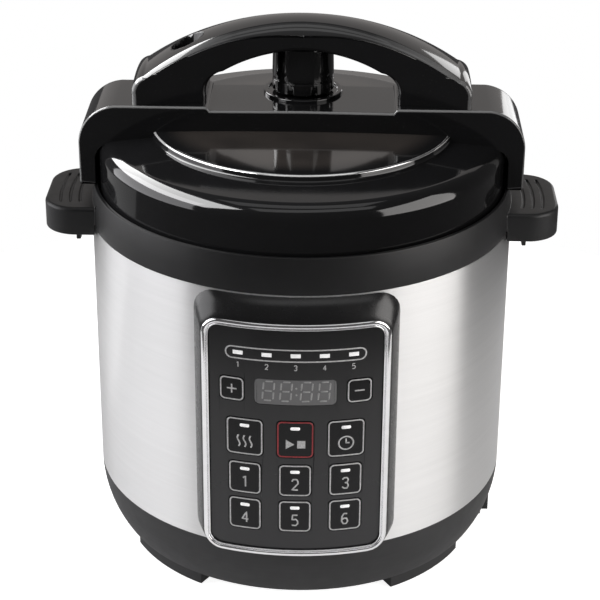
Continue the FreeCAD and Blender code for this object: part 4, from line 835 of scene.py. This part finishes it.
def soften(name, width, segments=2):
    """Joins a solid's loose triangles, rounds its sharp edges a little and evens its shading."""
    item = frame["nodes"][name]
    item.data.polygons.foreach_set("use_smooth", np.ones(len(item.data.polygons), bool))
    item.modifiers.new("join", "WELD").merge_threshold = 1e-6
    if width:
        edge = item.modifiers.new("edge", "BEVEL")
        edge.limit_method = "ANGLE"
        edge.angle_limit = np.radians(35)
        edge.width = width * MM
        edge.segments = segments
        edge.use_clamp_overlap = False
        edge.miter_outer = "MITER_ARC"
    item.modifiers.new("even_normals", "WEIGHTED_NORMAL").keep_sharp = True


def soften_all():
    """Edge widths in millimetres by solid, and narrower ones for the keys and the rest."""
    widths = {
        "upper_collar": 0.5, "base_shell": 0.6, "panel_housing": 0.8, "handle_cover_right": 0.3,
        "handle_cover_left": 0.3, "foot_pads": 0.4, "power_inlet": 0.6, "drip_cup": 0.3,
        "drip_cup_holder": 0.4, "inner_pot": 0.3, "inner_lid": 0.3, "bottom_cover": 0.3,
        "lock_flange": 0.3, "steel_sleeve": 0.12, "heating_plate": 0.5, "panel_fascia": 0.12,
        "pressure_lid": 0.25,
    }
    for name in frame["nodes"]:
        default = 0.22 if name.startswith("key_") and name != "key_switches" else 0.15
        soften(name, widths.get(name, default))


# Studio


def camera():
    """The photo's camera: its place, its downward pitch, a small turn to the side and a small roll."""
    bearing, pitch, roll = np.radians([1.2, 25.51, 0.4])
    eye = np.array([19.7, -940.7, 577.95]) * MM
    ahead = np.array([-np.sin(bearing) * np.cos(pitch), np.cos(bearing) * np.cos(pitch), -np.sin(pitch)])
    right = np.array([np.cos(bearing), np.sin(bearing), 0])
    up = np.cross(right, ahead)
    right, up = right * np.cos(roll) + up * np.sin(roll), up * np.cos(roll) - right * np.sin(roll)
    data = bpy.data.cameras.new("camera")
    data.sensor_width = 36.0
    data.lens = 1926.8 / 600 * data.sensor_width
    data.shift_x = -1.1 / 600
    item = bpy.data.objects.new("camera", data)
    item.matrix_world = Matrix([[*pair] for pair in zip(right, up, -ahead, eye)] + [[0, 0, 0, 1]])
    bpy.context.scene.collection.objects.link(item)
    bpy.context.scene.camera = item


def softbox(name, spot, target, width, height, radiance, colour=(1, 1, 1), only=()):
    """A soft light panel of an even radiance that the camera itself doesn't see. It lights everything, or
    only the named pieces."""
    data = bpy.data.lights.new(name, "AREA")
    data.shape = "RECTANGLE"
    data.size, data.size_y = width, height
    data.energy = radiance * np.pi * width * height
    data.color = colour
    item = bpy.data.objects.new(name, data)
    away = np.array(spot) - np.array(target)
    away = away / np.linalg.norm(away)
    side = np.cross([0, 0, 1], away)
    side = side / np.linalg.norm(side)
    up = np.cross(away, side)
    item.matrix_world = Matrix([[*pair] for pair in zip(side, up, away, spot)] + [[0, 0, 0, 1]])
    item.visible_camera = False
    bpy.context.scene.collection.objects.link(item)
    if only:
        lit = bpy.data.collections.new(name + "_lights")
        for part in only:
            lit.objects.link(bpy.data.objects[part])
        item.light_linking.receiver_collection = lit


def studio():
    """A white round floor, a white backdrop that lights little by itself, and soft light panels."""
    steps = np.linspace(0, 2 * np.pi, 97)[:-1]
    rim = np.stack([np.cos(steps), np.sin(steps), 0 * steps], -1) * FLOOR_RADIUS * MM
    mesh = bpy.data.meshes.new("floor")
    mesh.from_pydata(rim.tolist(), [], [list(range(len(rim)))])
    floor = bpy.data.objects.new("floor", mesh)
    bpy.context.scene.collection.objects.link(floor)
    look = Look("floor", Roughness=0.9, Emission_Strength=1.0)
    cloud = look.noise(3.0)
    tone = look.mix(cloud, grey(0.9), grey(0.93))
    seen = look.node("ShaderNodeLightPath", output="Is Camera Ray")
    look.feed(Base_Color=tone, Emission_Color=look.mix(seen, grey(0.16), grey(0.9)))
    mesh.materials.append(look.material)
    world = bpy.data.worlds.new("studio")
    bpy.context.scene.world = world
    world.use_nodes = True
    tree = world.node_tree
    path = tree.nodes.new("ShaderNodeLightPath")
    mix = tree.nodes.new("ShaderNodeMix")
    mix.data_type = "RGBA"
    mix.inputs[6].default_value = (0.088, 0.086, 0.087, 1)
    mix.inputs[7].default_value = (1.0, 1.0, 1.0, 1)
    tree.links.new(path.outputs["Is Camera Ray"], mix.inputs[0])
    tree.links.new(mix.outputs[2], tree.nodes["Background"].inputs["Color"])
    softbox("left_panel", (-0.95, -0.06, 0.5), (0, -0.06, 0.5), 1.14, 1.0, 3.1, (0.985, 0.98, 1.0))
    softbox("left_strip", (-0.9, 0.2, 0.98), (0, 0.2, 0.2), 2.2, 0.75, 12.0,
            only=("lid_dome", "bridge_bar", "arch_handle", "knob_turned"))
    softbox("right_panel", (0.95, -0.52, 0.5), (0, -0.52, 0.5), 0.95, 1.0, 4.0, (1.0, 0.975, 0.955))
    softbox("right_back_strip", (0.5, 0.95, 0.3), (0, 0, 0.2), 0.14, 0.6, 2.5)
    softbox("front_top", (0.1, -0.55, 1.15), (0, 0, 0.2), 1.0, 0.35, 1.0)
    softbox("back_card", (0.0, 1.3, 0.75), (0, 0, 0.4), 1.9, 1.0, 0.42, (1.0, 0.95, 0.92))
    softbox("top_panel", (0.0, 0.0, 1.35), (0.0, -0.001, 0.2), 0.9, 0.5, 0.8)
    softbox("left_low_card", (-0.48, 0.34, 0.004), (-0.48, 0.341, 1.0), 0.5, 0.55, 0.32)
    bpy.context.scene.view_settings.view_transform = "Standard"


lid_dome()
bridge_bar()
arch_handle()
knob_turned()
panel_hood()
trim_frame()
key_prints()
display_digits()
indicator_print()
soften_all()
camera()
studio()
